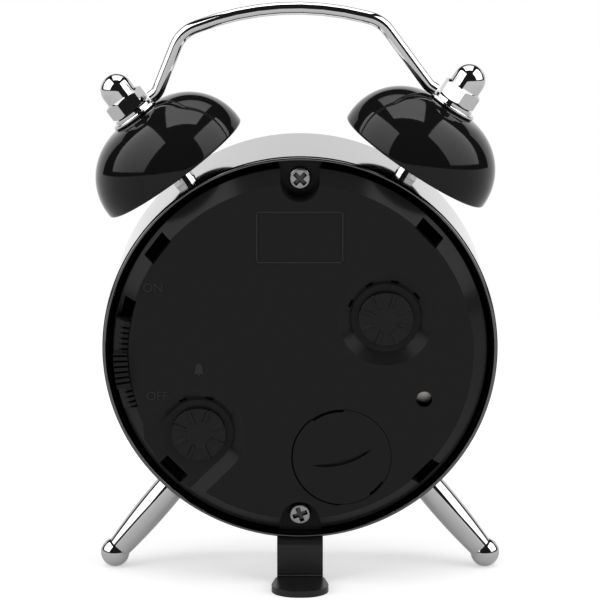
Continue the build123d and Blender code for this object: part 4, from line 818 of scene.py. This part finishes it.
def slide_shade():
    """Near-black bars in the grooves across the slide, as painted shade."""
    bm = bmesh.new()
    for groove in range(1, SLIDE_GROOVES + 1):
        turn = SLIDE_START + groove * SLIDE_GROOVE_STEP + SLIDE_GROOVE_ARC / 2
        on_tab = SLIDE_TAB[0] < turn < SLIDE_TAB[1]
        reach, length, level = (SLIDE_TAB_REACH if on_tab else SLIDE_WING_REACH)
        spot = (reach * cos(radians(turn)), reach * sin(radians(turn)), level)
        bar(bm, spot, SLIDE_SHADE_WIDTH, length, SLIDE_SHADE_HEIGHT, turn)
    show(bm, "slide_shade", IN_CASE, "black_plastic", body="slide", surface=gap_black)


def hole_shade():
    """Painted shade: a near-black sleeve on the wall of the sound hole, and a near-black band drawn on the cover
    along the part of the battery door's gap that reads wider.
    """
    bm = bmesh.new()
    wall = bmesh.new()
    near, far = SOUND_RADIUS - 2 * SHADE_SKIN, SOUND_RADIUS - SHADE_SKIN
    brim, base = PLATE_TOP - HOLE_SHADE_DROP, HOLE_SHADE_FOOT
    turned(wall, [(near, brim), (far, brim), (far, base), (near, base), (near, brim)], 64)
    join(bm, wall, Matrix.Translation((*SOUND_SPOT, 0)))
    gap = bmesh.new()
    top, foot = PLATE_TOP + SHADE_SKIN / 2, PLATE_TOP - SHADE_SKIN
    edge = DOOR_EDGE + DOOR_SHADE_WIDTH
    arc_band(gap, [(DOOR_EDGE, foot), (edge, foot), (edge, top), (DOOR_EDGE, top)], *DOOR_SHADE_ARC, 48)
    join(bm, gap, Matrix.Translation((*DOOR_SPOT, 0)))
    show(bm, "hole_shade", IN_CASE, "black_plastic", surface=gap_black)


groove_shade()
rim_line()
slide_shade()
hole_shade()
cover_marks()
knob_marks()
bend_line()
dial_marks()


# Stage: pale floor, white surroundings, soft lights


def plain_nodes(material):
    """An empty node tree for a material."""
    material.use_nodes = True
    material.node_tree.nodes.clear()
    return material.node_tree


def seen_rays(tree):
    """One for rays that see the background: from the camera, off gloss and through glass."""
    path = tree.nodes.new("ShaderNodeLightPath")
    total = path.outputs["Is Camera Ray"]
    for ray in ("Is Glossy Ray", "Is Transmission Ray"):
        larger = tree.nodes.new("ShaderNodeMath")
        larger.operation = "MAXIMUM"
        tree.links.new(total, larger.inputs[0])
        tree.links.new(path.outputs[ray], larger.inputs[1])
        total = larger.outputs[0]
    return total


def pale_floor():
    """Matte floor that fades into the white surroundings away from the clock."""
    bm = bmesh.new()
    bmesh.ops.create_circle(bm, cap_ends=True, segments=96, radius=FLOOR_RADIUS)
    mesh = bpy.data.meshes.new("floor")
    bm.to_mesh(mesh)
    bm.free()
    floor = bpy.data.objects.new("floor", mesh)
    scene.collection.objects.link(floor)
    material = bpy.data.materials.new("pale_floor")
    tree = plain_nodes(material)
    matte = tree.nodes.new("ShaderNodeBsdfDiffuse")
    matte.inputs["Color"].default_value = (FLOOR_GREY, FLOOR_GREY, FLOOR_GREY, 1)
    glow = tree.nodes.new("ShaderNodeEmission")
    path = tree.nodes.new("ShaderNodeLightPath")
    lift = tree.nodes.new("ShaderNodeMapRange")
    lift.inputs["To Min"].default_value = FLOOR_GLOW_IN_GLOSS
    lift.inputs["To Max"].default_value = FLOOR_GLOW
    tree.links.new(path.outputs["Is Camera Ray"], lift.inputs["Value"])
    seen = seen_rays(tree)
    level = tree.nodes.new("ShaderNodeMath")
    level.operation = "MULTIPLY"
    tree.links.new(lift.outputs["Result"], level.inputs[0])
    tree.links.new(seen, level.inputs[1])
    tree.links.new(level.outputs[0], glow.inputs["Strength"])
    near = tree.nodes.new("ShaderNodeAddShader")
    tree.links.new(matte.outputs[0], near.inputs[0])
    tree.links.new(glow.outputs[0], near.inputs[1])
    far = tree.nodes.new("ShaderNodeEmission")
    tree.links.new(seen, far.inputs["Strength"])
    place = tree.nodes.new("ShaderNodeTexCoord")
    reach = tree.nodes.new("ShaderNodeVectorMath")
    reach.operation = "LENGTH"
    tree.links.new(place.outputs["Object"], reach.inputs[0])
    fade = tree.nodes.new("ShaderNodeMapRange")
    fade.interpolation_type = "SMOOTHSTEP"
    fade.inputs["From Min"].default_value = FLOOR_FADE[0]
    fade.inputs["From Max"].default_value = FLOOR_FADE[1]
    tree.links.new(reach.outputs["Value"], fade.inputs["Value"])
    blend = tree.nodes.new("ShaderNodeMixShader")
    tree.links.new(fade.outputs["Result"], blend.inputs["Fac"])
    tree.links.new(near.outputs[0], blend.inputs[1])
    tree.links.new(far.outputs[0], blend.inputs[2])
    output = tree.nodes.new("ShaderNodeOutputMaterial")
    tree.links.new(blend.outputs[0], output.inputs["Surface"])
    mesh.materials.append(material)


def white_surroundings():
    """White as seen, and a lower light on the clock."""
    world = bpy.data.worlds.new("white_surroundings")
    scene.world = world
    world.use_nodes = True
    tree = world.node_tree
    tree.nodes.clear()
    background = tree.nodes.new("ShaderNodeBackground")
    background.inputs["Color"].default_value = (1, 1, 1, 1)
    level = tree.nodes.new("ShaderNodeMapRange")
    level.inputs["To Min"].default_value = WORLD_LIGHT
    level.inputs["To Max"].default_value = 1.0
    tree.links.new(seen_rays(tree), level.inputs["Value"])
    tree.links.new(level.outputs["Result"], background.inputs["Strength"])
    output = tree.nodes.new("ShaderNodeOutputWorld")
    tree.links.new(background.outputs[0], output.inputs["Surface"])


def soft_light(name, place, aim, width, height, power):
    """A wide lamp that gloss does not show."""
    lamp = bpy.data.lights.new(name, "AREA")
    lamp.shape = "RECTANGLE"
    lamp.size = width
    lamp.size_y = height
    lamp.energy = power
    light = bpy.data.objects.new(name, lamp)
    light.location = place
    light.rotation_euler = (Vector(aim) - Vector(place)).to_track_quat("-Z", "Y").to_euler()
    light.visible_glossy = False
    scene.collection.objects.link(light)


def seen_in_gloss(bm, name, bright, dim=None):
    """A lit surface that only gloss sees, brighter at its top than at its foot."""
    mesh = bpy.data.meshes.new(name)
    bm.to_mesh(mesh)
    bm.free()
    card = bpy.data.objects.new(name, mesh)
    scene.collection.objects.link(card)
    tree = plain_nodes(bpy.data.materials.new(name))
    glow = tree.nodes.new("ShaderNodeEmission")
    glow.inputs["Strength"].default_value = bright
    if dim is not None:
        place = tree.nodes.new("ShaderNodeTexCoord")
        split = tree.nodes.new("ShaderNodeSeparateXYZ")
        level = tree.nodes.new("ShaderNodeMapRange")
        level.inputs["To Min"].default_value = dim
        level.inputs["To Max"].default_value = bright
        tree.links.new(place.outputs["Generated"], split.inputs[0])
        tree.links.new(split.outputs["Z"], level.inputs["Value"])
        tree.links.new(level.outputs["Result"], glow.inputs["Strength"])
    output = tree.nodes.new("ShaderNodeOutputMaterial")
    tree.links.new(glow.outputs[0], output.inputs["Surface"])
    mesh.materials.append(bpy.data.materials[name])
    card.visible_camera = False
    card.visible_diffuse = False
    card.visible_transmission = False
    card.visible_shadow = False


def soft_box(name, azimuth, elevation, distance, width, height, bright, dim):
    """The lit face of a soft box on a bearing: 0 is behind the camera, 90 at its right."""
    turn, lift = radians(azimuth), radians(elevation)
    way = Vector((-sin(turn) * cos(lift), cos(turn) * cos(lift), sin(lift)))
    bm = bmesh.new()
    bmesh.ops.create_grid(bm, x_segments=1, y_segments=1, size=0.5)
    face = (-way).to_track_quat("-Z", "Y").to_matrix().to_4x4()
    size = Matrix.Diagonal((width, height, 1, 1))
    place = Matrix.Translation(CLOCK_MIDDLE + way * distance) @ face @ size
    bmesh.ops.transform(bm, matrix=place, verts=bm.verts)
    seen_in_gloss(bm, name, bright, dim)


def dim_room(radius, level):
    """The dim room round the lights, open to the white backdrop in front of the clock."""
    bm = bmesh.new()
    bmesh.ops.create_uvsphere(bm, u_segments=90, v_segments=90, radius=radius)
    open_faces = []
    for face in bm.faces:
        spot = face.calc_center_median() / radius
        backdrop = spot.z < BACKDROP_HEIGHT and abs(spot.x) < -BACKDROP_WIDTH * spot.y
        if spot.z < 0 or backdrop:
            open_faces.append(face)
    bmesh.ops.delete(bm, geom=open_faces, context="FACES")
    seen_in_gloss(bm, "dim_room", level)


pale_floor()
white_surroundings()
soft_light("left_lamp", (0.42, 0.30, 0.22), CLOCK_MIDDLE, 0.30, 0.40, 1.1)
soft_light("right_lamp", (-0.42, 0.26, 0.20), CLOCK_MIDDLE, 0.30, 0.40, 1.1)
soft_light("top_lamp", (0.0, 0.05, 0.60), CLOCK_MIDDLE, 0.50, 0.35, 1.1)
dim_room(1.8, 0.02)
soft_box("left_box", -74, 32, 0.80, 0.98, 0.82, 4.6, 2.4)
soft_box("right_box", 78, 32, 0.80, 0.88, 0.80, 4.6, 2.6)
soft_box("top_box", 180, 73, 0.80, 0.58, 0.80, 5.5, 1.0)

# Camera
toward = rearward * cos(CAMERA_RISE) + upward * sin(CAMERA_RISE)
aim_tilt = atan2(RIM_BELOW_MIDDLE, FOCAL_PIXELS)
level_up = (-toward).cross(-rightward).normalized()
forward = -toward * cos(aim_tilt) + level_up * sin(aim_tilt)
camera_up = forward.cross(-rightward).normalized()
camera_data = bpy.data.cameras.new("camera")
camera_data.sensor_fit = "HORIZONTAL"
camera_data.angle = 2 * atan2(HALF_FRAME_PIXELS, FOCAL_PIXELS)
camera_data.clip_start = NEAR_CLIP
camera = bpy.data.objects.new("camera", camera_data)
scene.collection.objects.link(camera)
stand = Matrix((rightward, camera_up, -forward)).transposed().to_4x4()
camera.matrix_world = Matrix.Translation(rim_centre + toward * CAMERA_DISTANCE) @ stand
scene.camera = camera
